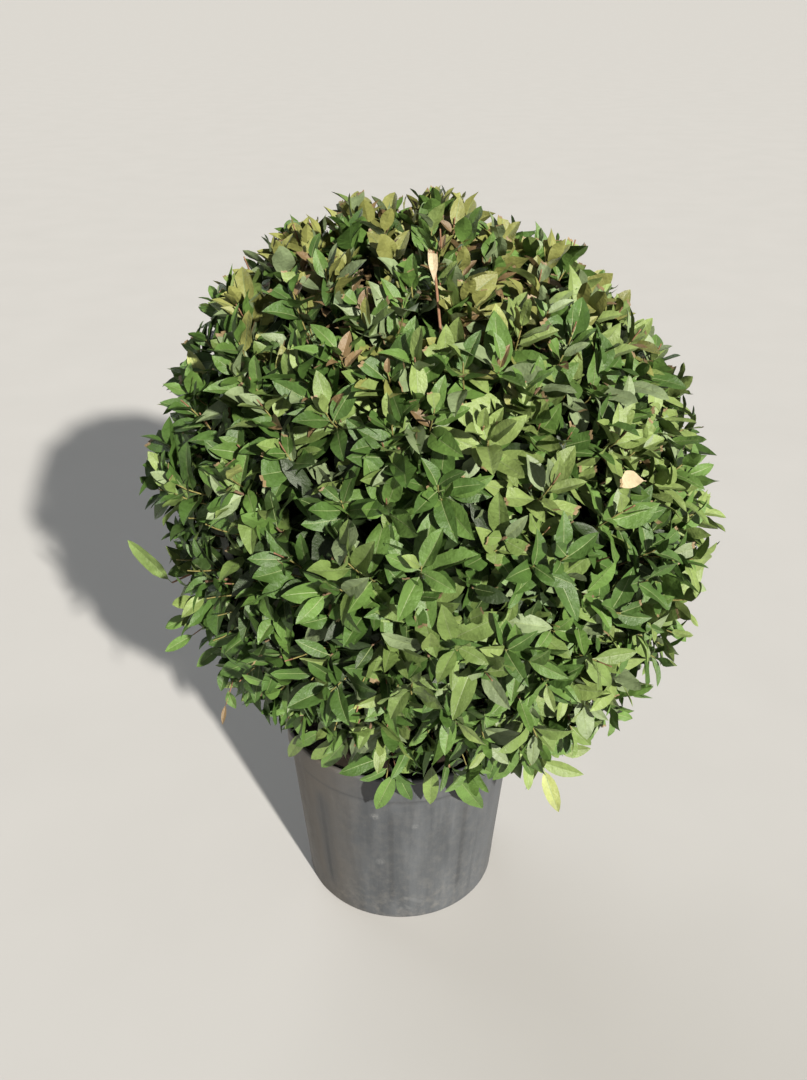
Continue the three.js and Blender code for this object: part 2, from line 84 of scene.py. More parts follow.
class Level:
    """An output socket: sums with it add Math nodes to its material."""

    def __init__(self, finish, socket):
        self.finish = finish
        self.socket = socket

    def reckon(self, operation, *values):
        return self.finish.node("Math", {"operation": operation}, dict(enumerate(values)))

    def __add__(self, other):
        return self.reckon("ADD", self, other)

    __radd__ = __add__

    def __mul__(self, other):
        return self.reckon("MULTIPLY", self, other)

    __rmul__ = __mul__

    def __sub__(self, other):
        return self.reckon("SUBTRACT", self, other)

    def __rsub__(self, other):
        return self.reckon("SUBTRACT", other, self)

    def __truediv__(self, other):
        return self.reckon("DIVIDE", self, other)


class Finish:
    """A material in the making, with its shader and the place on the object."""

    def __init__(self, name, roughness, specular):
        self.material = bpy.data.materials.new(name)
        self.material.use_nodes = True
        self.tree = self.material.node_tree
        self.shader = self.tree.nodes["Principled BSDF"]
        self.shader.inputs["Roughness"].default_value = roughness
        self.shader.inputs["Specular IOR Level"].default_value = specular
        self.place = self.node("TexCoord", output="Object")

    def node(self, kind, settings=None, inputs=None, output=0):
        made = self.tree.nodes.new("ShaderNode" + kind)
        for name, value in (settings or {}).items():
            if name == "stops":
                self.set_stops(made.color_ramp, value)
            else:
                setattr(made, name, value)
        for name, value in (inputs or {}).items():
            self.feed(made.inputs[name], value)
        return Level(self, made.outputs[output])

    def set_stops(self, ramp, stops):
        while len(ramp.elements) < len(stops):
            ramp.elements.new(1)
        for element, (where, shade) in zip(ramp.elements, stops):
            element.position = where
            element.color = (shade, shade, shade, 1)

    def feed(self, socket, value):
        if isinstance(value, Level):
            self.tree.links.new(value.socket, socket)
        else:
            socket.default_value = value

    def give(self, name, value):
        self.feed(self.shader.inputs[name], value)

    def noise(self, scale, detail=2.0, roughness=0.5, place=None, distortion=0.0):
        inputs = {"Vector": place or self.place, "Scale": scale, "Detail": detail}
        inputs.update({"Roughness": roughness, "Distortion": distortion})
        return self.node("TexNoise", {}, inputs)

    def stretched(self, across, along):
        return self.node("Mapping", {}, {"Vector": self.place, "Scale": (across, across, along)})

    def axis(self, number):
        return self.node("SeparateXYZ", {}, {0: self.place}, output=number)

    def mask(self, level, start, end):
        """From 0 to 1 while the level goes from start to end."""
        return self.node("ValToRGB", {"stops": [(start, 0), (end, 1)]}, {0: level})

    def window(self, level, start, full, fade, end):
        """From 0 to 1 while the level goes from start to full, and back from fade to end."""
        return self.mask(level, start, full) * (1.0 - self.mask(level, fade, end))

    def blend(self, share, colour, other):
        return self.node("Mix", {"data_type": "RGBA"}, {0: share, 6: colour, 7: other}, output=2)

    def relief(self, height, distance, strength=1.0):
        bump = {"Height": height, "Distance": distance, "Strength": strength}
        self.give("Normal", self.node("Bump", {}, bump))


def colour(red, green, blue):
    return (red, green, blue, 1)


print("finishes are ready to be mixed")

# %% [markdown]
# ## Pot plastic
# The pot is dark grey plastic that has stood outdoors: it has faded, rain has left faint upright
# streaks, dust lies on it, most of it low down, and its left side is browner. The grooves and a
# line under the band are darkened as painted shade. A plain grey with one roughness would look
# like new. So a slow noise fades it, and a noise that is stretched upright makes the streaks. The
# grooves and the band are found by turn and height. The pale scuffs are soft smudges at three
# places, each broken up by a fine noise, so that none of them has an edge.

# %% Finish of the pot
POT_DARK = colour(0.043, 0.047, 0.052)
POT_FADED = colour(0.076, 0.082, 0.089)
POT_BROWN = colour(0.085, 0.068, 0.049)
# colour of the painted shade in the grooves and under the band
POT_PAINTED_SHADE = colour(0.026, 0.028, 0.031)
POT_DUST = colour(0.22, 0.205, 0.18)
POT_SCUFF = colour(0.33, 0.33, 0.32)
SCUFFS = [  # middle and radius, in metres
    (-0.043, -0.193, 0.259, 0.010),
    (-0.036, -0.189, 0.147, 0.012),
    (0.025, -0.197, 0.237, 0.009),
]
MM = 0.001
BAND_FOOT = 298
GROOVES = 9
GROOVE_TURN = math.radians(-95)
GROOVE_FROM = 34
GROOVE_TO = 276
GROOVE_SOFT_END = 30


def groove_shade_masks(finish, across, deep, height):
    """Where the grooves are, and a thin line at their bottoms: masks for painted shade."""
    turn = finish.node("Math", {"operation": "ARCTAN2"}, {0: deep, 1: across})
    ring = finish.node("Math", {"operation": "COSINE"}, {0: (turn - GROOVE_TURN) * GROOVES})
    ends = finish.window(height, GROOVE_FROM * MM, (GROOVE_FROM + GROOVE_SOFT_END) * MM,
                         (GROOVE_TO - GROOVE_SOFT_END) * MM, GROOVE_TO * MM)
    return finish.mask(ring, 0.45, 0.98) * ends, finish.mask(ring, 0.955, 0.995) * ends


def scuff_marks(finish):
    """A faint scuffing all over, and a broken, soft-edged smudge at each listed place."""
    marks = finish.mask(finish.noise(21, 2, 0.4, distortion=0.6), 0.72, 0.79) * 0.2
    broken = 0.05 + finish.mask(finish.noise(300, 3, 0.7), 0.38, 0.66) * 0.32
    for *middle, radius in SCUFFS:
        ends = {0: finish.place, 1: middle}
        apart = finish.node("VectorMath", {"operation": "DISTANCE"}, ends, output=1)
        marks = marks + finish.mask(1.0 - apart / radius, 0.0, 0.9) * broken
    return marks


def pot_finish():
    finish = Finish("faded_pot_plastic", roughness=0.55, specular=0.4)
    across, deep, height = (finish.axis(number) for number in range(3))
    streaks = finish.noise(9, 4, 0.65, place=finish.stretched(4.5, 0.35))
    fading = finish.noise(5, 3, 0.6)
    faded = finish.mask(streaks * 0.65 + fading * 0.35, 0.36, 0.64)
    base = finish.blend(faded, POT_DARK, POT_FADED)
    brown_side = finish.mask(0.5 - across * 2.6 + (fading - 0.5) * 0.5, 0.62, 0.95)
    base = finish.blend(brown_side * 0.75, base, POT_BROWN)
    groove_shade, groove_shade_line = groove_shade_masks(finish, across, deep, height)
    # painted shade: the grooves are darkened in the colour
    base = finish.blend(groove_shade * (0.3 + streaks * 0.5), base, POT_DARK)
    # painted shade: a line under the band, and a thin line at the bottom of each groove
    line = (BAND_FOOT - 8, BAND_FOOT - 1, BAND_FOOT + 2, BAND_FOOT + 3.5)
    painted_band_shade = finish.window(height, *(step * MM for step in line))
    base = finish.blend(groove_shade_line * (0.15 + streaks * 0.6) + painted_band_shade * 0.6, base, POT_PAINTED_SHADE)
    dust = finish.mask(finish.noise(60, 5, 0.7), 0.45, 0.75)
    low = finish.mask(0.12 - height, 0.0, 0.12)
    base = finish.blend(dust * (0.12 + low * 0.22), base, POT_DUST)
    finish.give("Base Color", finish.blend(scuff_marks(finish), base, POT_SCUFF))
    finish.give("Roughness", 0.42 + faded * 0.16 + dust * 0.12)
    grain = finish.noise(900, 2, 0.5)
    finish.relief(grain * 0.6 + finish.noise(70, 3, 0.6) * 1.4, 0.0004, 0.5)
    return finish.material


POT_PLASTIC = pot_finish()
print("mixed", POT_PLASTIC.name)

# %% [markdown]
# ## Soil, bark and twigs
# Damp growing mix is nearly black with brown crumbs. Bay bark is thin and smooth: grey-brown with
# small pale pores. Young twigs are greener and redder. One recipe serves them all, in which a
# grain that is drawn out along the wood blends a dark and a light tone, and only its tones and
# its fineness differ.

# %% Finishes of the soil and the wood
SOIL_WET = colour(0.014, 0.010, 0.007)
SOIL_DAMP = colour(0.032, 0.022, 0.015)
SOIL_CRUMB = colour(0.07, 0.048, 0.032)


def soil_finish():
    finish = Finish("damp_growing_mix", roughness=0.9, specular=0.25)
    crumbs = finish.noise(160, 5, 0.7)
    patches = finish.noise(22, 3, 0.6)
    damp = finish.blend(patches, SOIL_WET, SOIL_DAMP)
    finish.give("Base Color", finish.blend(finish.mask(crumbs, 0.52, 0.75), damp, SOIL_CRUMB))
    finish.give("Roughness", 0.8 + crumbs * 0.2)
    finish.relief(crumbs + finish.noise(420, 3, 0.6) * 0.5, 0.004, 0.9)
    return finish.material


def bark_finish(name, scale, dark, light, pores):
    finish = Finish(name, roughness=0.78, specular=0.3)
    grain = finish.noise(scale, 5, 0.62, place=finish.stretched(1, 0.3))
    base = finish.blend(finish.mask(grain, 0.34, 0.66), dark, light)
    pore_noise = finish.noise(scale * 2.4, 2, 0.5, place=finish.stretched(0.6, 1.6))
    spots = finish.mask(pore_noise, 0.66, 0.72)
    finish.give("Base Color", finish.blend(spots * 0.6, base, pores))
    finish.give("Roughness", 0.62 + grain * 0.3)
    finish.relief(grain + spots * 0.6, 0.0012, 0.8)
    return finish.material


SOIL = soil_finish()
WOOD_TONES = [  # name, fineness of the grain, and its dark, light and pore colours
    ("grey_brown_bark", 55, (0.07, 0.048, 0.034), (0.19, 0.145, 0.105), (0.3, 0.25, 0.2)),
    ("brown_twig", 120, (0.075, 0.045, 0.026), (0.17, 0.11, 0.06), (0.24, 0.18, 0.12)),
    ("young_twig", 160, (0.12, 0.11, 0.035), (0.22, 0.19, 0.06), (0.3, 0.16, 0.07)),
    ("red_brown_stick", 140, (0.15, 0.075, 0.042), (0.26, 0.14, 0.08), (0.34, 0.24, 0.16)),
]
BARK, TWIG_BROWN, TWIG_GREEN, STICK_RED = (
    bark_finish(name, scale, *(colour(*tone) for tone in tones)) for name, scale, *tones in WOOD_TONES
)
print("mixed", SOIL.name, "and", len(WOOD_TONES), "kinds of bark")

# %% [markdown]
# ## Leaf finishes
# Bay leaves are leathery and shine in the sun. Every leaf of one kind shares one colour, and the
# kinds are dealt out by spray, so the colour of a leaf never depends on a pattern that has to
# fall on the right place. Noises only vary each kind a little, in tone, gloss and relief. Two more
# colours are painted shade, darker than a leaf's own green, for the leaves on the branches and
# inside the ball, and one is for the pale rib.

# %% Finishes of the leaves
LEAF_TONES = (0.68, 1.32)
LEAF_COLOURS = {
    "deep": (0.050, 0.100, 0.020),
    "green": (0.081, 0.148, 0.031),
    "olive": (0.116, 0.172, 0.045),
    "fresh": (0.152, 0.208, 0.060),
    "golden": (0.182, 0.192, 0.054),
    # partly pale undersides, partly painted sheen
    "pale": (0.152, 0.198, 0.098),
    "yellowed": (0.225, 0.255, 0.08),
    "bleached": (0.34, 0.28, 0.175),
    "dry": (0.148, 0.1, 0.048),
    "cut": (0.2, 0.145, 0.075),
    # painted shade: darker than a leaf's own green, for most leaves on the branches
    "shade": (0.030, 0.056, 0.013),
    # painted shade, darker still: for the leaves inside the ball
    "inner": (0.018, 0.033, 0.009),
    "rib": (0.155, 0.2, 0.08),
}


def leaf_finish(kind):
    finish = Finish("leaf_" + kind, roughness=0.42, specular=0.4)
    shade = np.array(LEAF_COLOURS[kind])
    patch = finish.noise(11, 2, 0.5)
    tone = finish.noise(38, 3, 0.6)
    mottle = finish.noise(240, 4, 0.7)
    age = finish.mask(patch * 0.4 + tone * 0.35 + mottle * 0.25, 0.36, 0.64)
    tones = [colour(*(shade * strength)) for strength in LEAF_TONES]
    finish.give("Base Color", finish.blend(age, *tones))
    skin = finish.noise(420, 3, 0.6)
    finish.give("Roughness", 0.3 + skin * 0.18 + tone * 0.16)
    waves = finish.noise(75, 2, 0.5)
    finish.relief(skin * 0.25 + mottle * 0.5 + waves * 1.2, 0.0032, 0.6)
    return finish.material


LEAF_FINISHES = {kind: leaf_finish(kind) for kind in LEAF_COLOURS}
print("mixed", len(LEAF_FINISHES), "leaf finishes")

# %% [markdown]
# ## Working in edit mode
# Every modelled piece starts from a primitive and is shaped by extruding, resizing and moving
# what is selected. Nothing else may be selected by accident, so each piece starts from a clean
# slate, and its corners are then picked by where they are. A modifier works on the active thing,
# so one helper chooses the thing, sets the modifier up and applies it.

# %% Helpers for choosing and shaping
NEAR = 1e-4


def clean_slate():
    if bpy.context.object and bpy.context.object.mode != "OBJECT":
        bpy.ops.object.mode_set(mode="OBJECT")
    bpy.ops.object.select_all(action="DESELECT")


def choose(*things):
    """Selects only these things, and makes the first one active."""
    clean_slate()
    for thing in things:
        thing.select_set(True)
    bpy.context.view_layer.objects.active = things[0]


def apply_modifier(thing, kind, settings):
    """Shapes the thing with a modifier of this kind, for good."""
    choose(thing)
    modifier = thing.modifiers.new(kind.lower(), kind)
    for name, value in settings.items():
        setattr(modifier, name, value)
    bpy.ops.object.modifier_apply(modifier=modifier.name)


def clouds(scale, depth):
    """A cloudy texture for Displace, of that size and with that many finer layers."""
    texture = bpy.data.textures.new("clouds", "CLOUDS")
    texture.noise_scale = scale
    texture.noise_depth = depth
    return texture


def pick(thing, test):
    """Selects the corners whose place passes the test, and says how many they are."""
    bpy.ops.mesh.select_mode(type="VERT")
    bpy.ops.mesh.select_all(action="DESELECT")
    work = bmesh.from_edit_mesh(thing.data)
    picked = [corner for corner in work.verts if test(corner.co)]
    for corner in picked:
        corner.select_set(True)
    work.select_flush(True)
    bmesh.update_edit_mesh(thing.data)
    return len(picked)


print("helpers are ready, and", NEAR, "m apart counts as the same place")

# %% Helpers for drawing a piece up and finishing it


def settle(thing, name, finish, smooth):
    """Leaves edit mode and gives the piece its place, name, finish and slot."""
    choose(thing)
    thing.name = name
    thing.data.name = name
    bpy.ops.object.transform_apply(location=True, rotation=True, scale=True)
    bpy.ops.object.shade_smooth_by_angle(angle=math.radians(smooth))
    thing.data.materials.clear()
    thing.data.materials.append(finish)
    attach(thing, "root")
    return thing


def turned_up(radii_heights, segments):
    """A disc at the first ring, drawn up ring by ring to the last, as on a wheel."""
    clean_slate()
    (radius, height), *rest = radii_heights
    bpy.ops.mesh.primitive_circle_add(
        vertices=segments, radius=radius, fill_type="NGON", location=(0, 0, 0)
    )
    thing = bpy.context.object
    bpy.ops.object.mode_set(mode="EDIT")
    bpy.ops.transform.translate(value=(0, 0, height))
    for next_radius, next_height in rest:
        bpy.ops.mesh.extrude_region_move()
        share = next_radius / radius
        bpy.ops.transform.resize(value=(share, share, 1), center_override=(0, 0, height))
        bpy.ops.transform.translate(value=(0, 0, next_height - height))
        radius, height = next_radius, next_height
    bpy.ops.mesh.select_all(action="SELECT")
    bpy.ops.mesh.normals_make_consistent(inside=False)
    return thing


print("pieces can be drawn up in rings and settled")

# %% [markdown]
# ## The pot
# It is a tapered tub with a chamfered foot, nine shallow upright grooves, a band under the rim and
# a rolled rim. It could be spun from a profile, but the grooves are easier to press in afterwards
# when the wall is drawn up in rings: corners of one ring are then resized towards the axis.

# %% Pot: draw up the wall
POT_HEIGHT = 350
POT_FOOT_RADIUS = 174
POT_BODY_RADIUS = 200
POT_WALL = 3.5
POT_FLOOR = 4
BAND_RADIUS = 204
BAND_RINGS = [(201.4, 298.4), (203.4, 300), (BAND_RADIUS, 302)]
RIM_RADIUS = 208
RIM_RINGS = [
    (BAND_RADIUS, 338),
    (205, 340.5),
    (207.2, 342),
    (RIM_RADIUS, 344),
    (RIM_RADIUS, 347),
    (207, 349.2),
    (205, POT_HEIGHT),
    (202.5, 349.6),
    (201, 348),
]
GROOVE_DEPTH = 1.6
GROOVE_FADE = 16
GROOVE_RINGS = (39, 44, 50, 90, 130, 170, 215, 260, 266, 271)
POT_SEGMENTS = 144


def body_radius(height):
    return POT_FOOT_RADIUS + (POT_BODY_RADIUS - POT_FOOT_RADIUS) * height / BAND_FOOT


def wall_rings():
    """Radius and height of every ring: up the outside, over the rim and down the inside."""
    outside = [(POT_FOOT_RADIUS - 3, 0), (POT_FOOT_RADIUS - 1, 0.9)]
    heights = [3, 8, 20, GROOVE_FROM, *GROOVE_RINGS, GROOVE_TO, 288]
    outside += [(body_radius(height), height) for height in heights]
    outside += [(POT_BODY_RADIUS, BAND_FOOT - 1), *BAND_RINGS, *RIM_RINGS]
    inside = [(POT_BODY_RADIUS + 0.5, BAND_FOOT + 3), (POT_BODY_RADIUS - POT_WALL, BAND_FOOT)]
    inside += [(body_radius(height) - POT_WALL, height) for height in (200, 100, POT_FLOOR)]
    return [(radius * MM, height * MM) for radius, height in outside + inside]


pot = turned_up(wall_rings(), POT_SEGMENTS)
print("pot wall has", len(wall_rings()), "rings")

# %% [markdown]
# ## Grooves of the pot
# Nine shallow grooves run up the wall and fade out at both ends. A Boolean with nine bars would
# leave sharp edges, and relief in the finish would not show in the outline. So the corners of the
# wall's own rings are moved in towards the axis, furthest in the middle of each groove.

# %% Pot: press in the grooves
GROOVE_STEPS = 4
GROOVE_PITCH = POT_SEGMENTS // GROOVES


def groove_depth(height, step):
    """How deep a groove is at that height, step segments away from its middle."""
    rise = (height - GROOVE_FROM) / GROOVE_FADE
    fall = (GROOVE_TO - height) / GROOVE_FADE
    wave = math.cos(GROOVES * step * 2 * math.pi / POT_SEGMENTS) ** 3
    return GROOVE_DEPTH * min(1, max(0, rise), max(0, fall)) * wave


def steps_from_groove(place):
    turn = math.atan2(place.y, place.x) - GROOVE_TURN
    steps = round(turn / (2 * math.pi) * POT_SEGMENTS) % GROOVE_PITCH
    return min(steps, GROOVE_PITCH - steps)


def on_groove(place, height, step):
    on_ring = abs(place.z - height * MM) < NEAR
    outer = math.hypot(place.x, place.y) > (body_radius(height) - POT_WALL / 2) * MM
    return on_ring and outer and steps_from_groove(place) == step


pressed = 0
for height in GROOVE_RINGS:
    for step in range(GROOVE_STEPS):
        pressed += pick(pot, lambda place: on_groove(place, height, step))
        share = 1 - groove_depth(height, step) / body_radius(height)
        bpy.ops.transform.resize(value=(share, share, 1), center_override=(0, 0, height * MM))
print("pressed in", pressed, "corners for", GROOVES, "grooves")

# %% [markdown]
# ## Drain holes
# Water leaves the pot through eight round holes near the edge of its floor. They could be left
# open while the floor is modelled, but they go straight through, so a Boolean is quicker. The
# eight cylinders that cut them are joined first, which makes it one cut.

# %% Pot: bore the drain holes and finish it
DRAIN_HOLES = 8
DRAIN_RADIUS = 9 * MM
DRAIN_RING = 138 * MM
BORER_SIDES = 24
BORER_LENGTH = 20 * MM

clean_slate()
borers = []
for hole in range(DRAIN_HOLES):
    turn = (hole + 0.5) * 2 * math.pi / DRAIN_HOLES
    where = (DRAIN_RING * math.cos(turn), DRAIN_RING * math.sin(turn), 0)
    bpy.ops.mesh.primitive_cylinder_add(
        vertices=BORER_SIDES, radius=DRAIN_RADIUS, depth=BORER_LENGTH, location=where
    )
    borers.append(bpy.context.object)
choose(*borers)
bpy.ops.object.join()
borer = bpy.context.object
apply_modifier(pot, "BOOLEAN", {"object": borer, "operation": "DIFFERENCE", "solver": "EXACT"})
bpy.data.objects.remove(borer)
pot = settle(pot, "nursery_pot", POT_PLASTIC, smooth=28)
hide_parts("pot")
print("pot has", len(pot.data.polygons), "faces and is", round(pot.dimensions.x, 3), "m wide")

# %% [markdown]
# ## The soil
# It fills the pot to a little below the rim, with a crumbly top. The body is drawn up like the
# pot, and its top is closed in small steps so that there are corners to lift. A Displace modifier
# with a cloud texture lifts them, but only where a vertex group allows it: level by the trunk.

# %% Soil: body and lumpy top
SOIL_TOP = 322
SOIL_RINGS = 26
SOIL_GAP = 0.3
SOIL_EDGE_DROP = 3
SOIL_LUMPS = ((0.03, 0.009), (0.008, 0.004))
SOIL_LEVEL_TO = 55
SOIL_LUMPY_TO = 196
SOIL_FIRST_STEP = 5
SOIL_RISES_OVER = 30


def soil_rings():
    """Radius and height of every ring: up the wall, and in over the top to its middle."""
    clear = POT_WALL + SOIL_GAP
    edge = BAND_RADIUS - clear
    rings = [(body_radius(POT_FLOOR + SOIL_GAP) - clear, POT_FLOOR + SOIL_GAP)]
    rings += [(POT_BODY_RADIUS - clear, BAND_FOOT), (edge, BAND_FOOT + 3)]
    rings += [(edge, SOIL_TOP - SOIL_EDGE_DROP - 1)]
    for ring in range(SOIL_RINGS):
        share = 1 - ring / SOIL_RINGS
        rise = SOIL_EDGE_DROP * min(1, 6 * (1 - share))
        rings.append((edge * share, SOIL_TOP - SOIL_EDGE_DROP + rise))
    return [(radius * MM, height * MM) for radius, height in rings]


soil = turned_up(soil_rings(), POT_SEGMENTS)
clean_slate()
lifted = soil.vertex_groups.new(name="lifted")
for corner in soil.data.vertices:
    out = math.hypot(corner.co.x, corner.co.y) / MM
    on_top = corner.co.z > (SOIL_TOP - SOIL_EDGE_DROP - 0.5) * MM
    if on_top and SOIL_LEVEL_TO < out < SOIL_LUMPY_TO:
        share = (out - SOIL_LEVEL_TO + SOIL_FIRST_STEP) / SOIL_RISES_OVER
        lifted.add([corner.index], min(1, share), "REPLACE")
for scale, height in SOIL_LUMPS:
    lift = {"texture": clouds(scale, 2), "texture_coords": "LOCAL", "direction": "Z"}
    lift.update(strength=height, mid_level=0.55, vertex_group="lifted")
    apply_modifier(soil, "DISPLACE", lift)
soil = settle(soil, "growing_mix", SOIL, smooth=60)
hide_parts("potting_soil")
print("soil top lies at", round(max(corner.co.z for corner in soil.data.vertices), 4), "m")

# %% [markdown]
# ## Numbers by chance, and directions
# The source of the part grows its foliage by a rule with a seed. The same rule is written again
# here, with the same seed and the same run of chance numbers, so that the shoots stand where the
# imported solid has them. Blender's own chance numbers could change with its version, so a short
# sum makes them. Bends are quadratic curves: a foot, a handle and a tip.

# %% Chance and directions
SEED = 1825
GOLDEN_TURN = math.pi * (3 - math.sqrt(5))
STEEP = 0.9


class Chance:
    """Even chance numbers from 0 to 1, the same run for the same seed."""

    def __init__(self, seed):
        self.state = seed

    def one(self):
        self.state = (self.state * 1664525 + 1013904223) % 4294967296
        return self.state / 4294967296

    def many(self, *shape):
        return np.array([self.one() for _ in range(math.prod(shape))]).reshape(shape)


def unit(vectors):
    vectors = np.asarray(vectors, float)
    return vectors / np.linalg.norm(vectors, axis=-1, keepdims=True)


def direction(turn, rise):
    """Turn from +X towards +Y, and rise from level, both in degrees."""
    turn, rise = np.radians(turn), np.radians(rise)
    level = np.cos(rise)
    return np.stack([level * np.cos(turn), level * np.sin(turn), np.sin(rise)], axis=-1)


def sideways(along):
    """Two directions square to one another and to each of the given ones."""
    steep = np.abs(along[..., 2:]) > STEEP
    helper = np.where(steep, [1.0, 0, 0], [0, 0, 1.0])
    first = unit(np.cross(helper, along))
    return first, np.cross(first, along)


def bend_points(path, share):
    """Points along quadratic paths, whose three handles lie on the second last axis."""
    share = np.asarray(share, float)[..., None]
    foot, middle, tip = path[..., 0, :], path[..., 1, :], path[..., 2, :]
    return (1 - share) ** 2 * foot + 2 * share * (1 - share) * middle + share**2 * tip


def bend_heading(path, share):
    share = np.asarray(share, float)[..., None]
    foot, middle, tip = path[..., 0, :], path[..., 1, :], path[..., 2, :]
    return unit((1 - share) * (middle - foot) + share * (tip - middle))


print("first chance numbers:", [round(number, 3) for number in Chance(SEED).many(3)])

# %% [markdown]
# ## The ball's reach
# A clipped bay looks like a ball, but no pair of shears makes a true one. Reach is how far the
# leaves come from the ball's middle in each direction: a slightly tall round, with fuller and
# flatter places, and a skirt that hangs over the pot. A leaf that stays within the reach keeps the
# clipped outline. Two rooms stay free of leaves: the hollow under the ball, where the boughs
# are, and the pot.

# %% Reach of the ball, and the rooms where nothing grows
BALL_CENTRE = np.array([0.038, 0, 0.770])
BALL_WIDE = 0.449
BALL_TALL = 0.464
SWELLS = [  # turn, rise and the share of the reach that each fuller or flatter place adds
    (33, 46, -0.066),
    (90, 62, 0.042),
    (147, 46, 0.022),
    (171, 16, -0.021),
    (189, -16, -0.025),
    (213, -46, -0.037),
    (270, -62, 0.02),
    (327, -46, 0.058),
    (351, -16, 0.045),
]
SWELL_SPREAD = 0.1
SKIRT_RISE = -61
SKIRT_BY = 0.1
SKIRT_SPREAD = 8
HOLLOW_CENTRE_X = 0.03
HOLLOW_HEIGHTS = [0.34, 0.44, 0.54, 0.612, 0.646]
HOLLOW_RADII = [0.128, 0.14, 0.136, 0.096, 0.0]
RIM_LINE = 0.397
RIM_LINE_SLOPE = -0.14
RIM_LINE_TO = -0.12
POT_ROOM_HEIGHTS = [0, 0.298, 0.3, 0.355]
POT_ROOM_RADII = [0.178, 0.204, 0.211, 0.213]


def reach(aims):
    """How far the leaves come from the middle in the directions of the aims."""
    level = np.hypot(aims[..., 0], aims[..., 1]) / BALL_WIDE
    far = 1 / np.hypot(level, aims[..., 2] / BALL_TALL)
    for turn, rise, by in SWELLS:
        apart = 1 - aims @ direction(turn, rise)
        far = far * (1 + by * np.exp(-apart / SWELL_SPREAD))
    rise = np.degrees(np.arcsin(np.clip(aims[..., 2], -1, 1)))
    return far * (1 + SKIRT_BY * np.exp(-(((rise - SKIRT_RISE) / SKIRT_SPREAD) ** 2)))


def on_ball(aims, share):
    """Places at that share of the reach."""
    return BALL_CENTRE + aims * (share * reach(aims))[..., None]


def room_left(points):
    """How far inside the reach the points are."""
    offset = points - BALL_CENTRE
    far = np.linalg.norm(offset, axis=-1)
    return reach(offset / far[..., None]) - far


def inside_turned(points, centre_x, heights, radii, margin):
    """True inside an upright turned shape with those radii at those heights."""
    height = points[..., 2]
    out = np.hypot(points[..., 0] - centre_x, points[..., 1])
    between = (height > heights[0]) & (height < heights[-1])
    return between & (out < np.interp(height, heights, radii) + margin)


def open_air(points, margin):
    """False in the hollow under the ball, and in the pot."""
    hollow = inside_turned(points, HOLLOW_CENTRE_X, HOLLOW_HEIGHTS, HOLLOW_RADII, margin)
    return ~(hollow | inside_turned(points, 0, POT_ROOM_HEIGHTS, POT_ROOM_RADII, margin))


def above_rim(points):
    """False in front of the pot's band, where only a few single leaves hang."""
    line = RIM_LINE + RIM_LINE_SLOPE * points[..., 0]
    return (points[..., 2] > line) | (points[..., 1] > RIM_LINE_TO)


print("reach to the top:", round(float(reach(direction(0, 90))), 3), "m")

# %% [markdown]
# ## Trunk and boughs
# The stem is short and hidden: it flares at the soil, leans a little and forks into a leader and
# four side boughs. A limb could be skinned along edges, but a straight rod that is drawn up ring
# by ring, with its taper, and then bent by a Curve modifier keeps an even bark. A Displace
# modifier gives the bark its relief while the rod is still straight.

# %% Limb: a straight rod, its relief and its bend
LIMB_SIDES = 24
BARK_LUMP = 0.014
FLARE_LOBES = 5
FLARE_LOBE_WIDTH = 0.4
BEND_STEPS = 33


def flare_foot(rod, top, spread):
    """Draws the corners below the top outwards, in lobes like the starts of roots."""
    for lobe in range(FLARE_LOBES):
        turn = lobe * 2 * math.pi / FLARE_LOBES

        def on_lobe(place):
            off = math.atan2(place.y, place.x) - turn
            off = abs((off + math.pi) % (2 * math.pi) - math.pi)
            return place.z < top and off < FLARE_LOBE_WIDTH

        pick(rod, on_lobe)
        bpy.ops.transform.translate(value=(spread * math.cos(turn), spread * math.sin(turn), 0))


def bending_line(points):
    """A curve through the points, for the Curve modifier."""
    bpy.ops.curve.primitive_bezier_curve_add(location=(0, 0, 0))
    line = bpy.context.object
    line.data.dimensions = "3D"
    line.data.splines.clear()
    strand = line.data.splines.new("POLY")
    strand.points.add(len(points) - 1)
    for spot, point in zip(strand.points, points):
        spot.co = (*point, 1)
    return line


def bent_limb(path, radii, rings, relief, flares=()):
    """A rod with the given radii from foot to tip, bent along the quadratic path."""
    points = bend_points(path, np.linspace(0, 1, BEND_STEPS))
    length = float(np.linalg.norm(np.diff(points, axis=0), axis=1).sum())
    steps = np.linspace(0, 1, rings)
    sizes = np.interp(steps, np.linspace(0, 1, len(radii)), radii)
    rod = turned_up([(size, length * step) for size, step in zip(sizes, steps)], LIMB_SIDES)
    for top_share, spread in flares:
        flare_foot(rod, top_share * length, spread)
    bark = {"texture": clouds(BARK_LUMP, 3), "texture_coords": "LOCAL", "strength": relief}
    apply_modifier(rod, "DISPLACE", bark)
    line = bending_line(points)
    apply_modifier(rod, "CURVE", {"object": line, "deform_axis": "POS_Z"})
    bpy.data.objects.remove(line)
    return rod


print("limbs have", LIMB_SIDES, "sides")

# %% Trunk and leader
TRUNK_FOOT = np.array([0.006, 0.004, 0.3223])
TRUNK_FORK = np.array([0.020, 0.001, 0.428])
TRUNK_RADII = [0.0335, 0.0315, 0.0285, 0.026, 0.0246, 0.0236, 0.0228, 0.022]
TRUNK_FLARES = [(0.1, 0.003), (0.22, 0.0025)]  # up to which share of it, and by how much
TRUNK_SUNK = 0.004
TRUNK_BOW = [-0.005, 0.003, 0]
LEADER_TIP = np.array([0.036, 0, 0.612])
LEADER_RADII = [0.0215, 0.019, 0.015, 0.011]
LEADER_SUNK = 0.006
LEADER_BOW = [-0.006, 0.004, 0]
GAP = 0.0003
WOOD_SMOOTH = 50

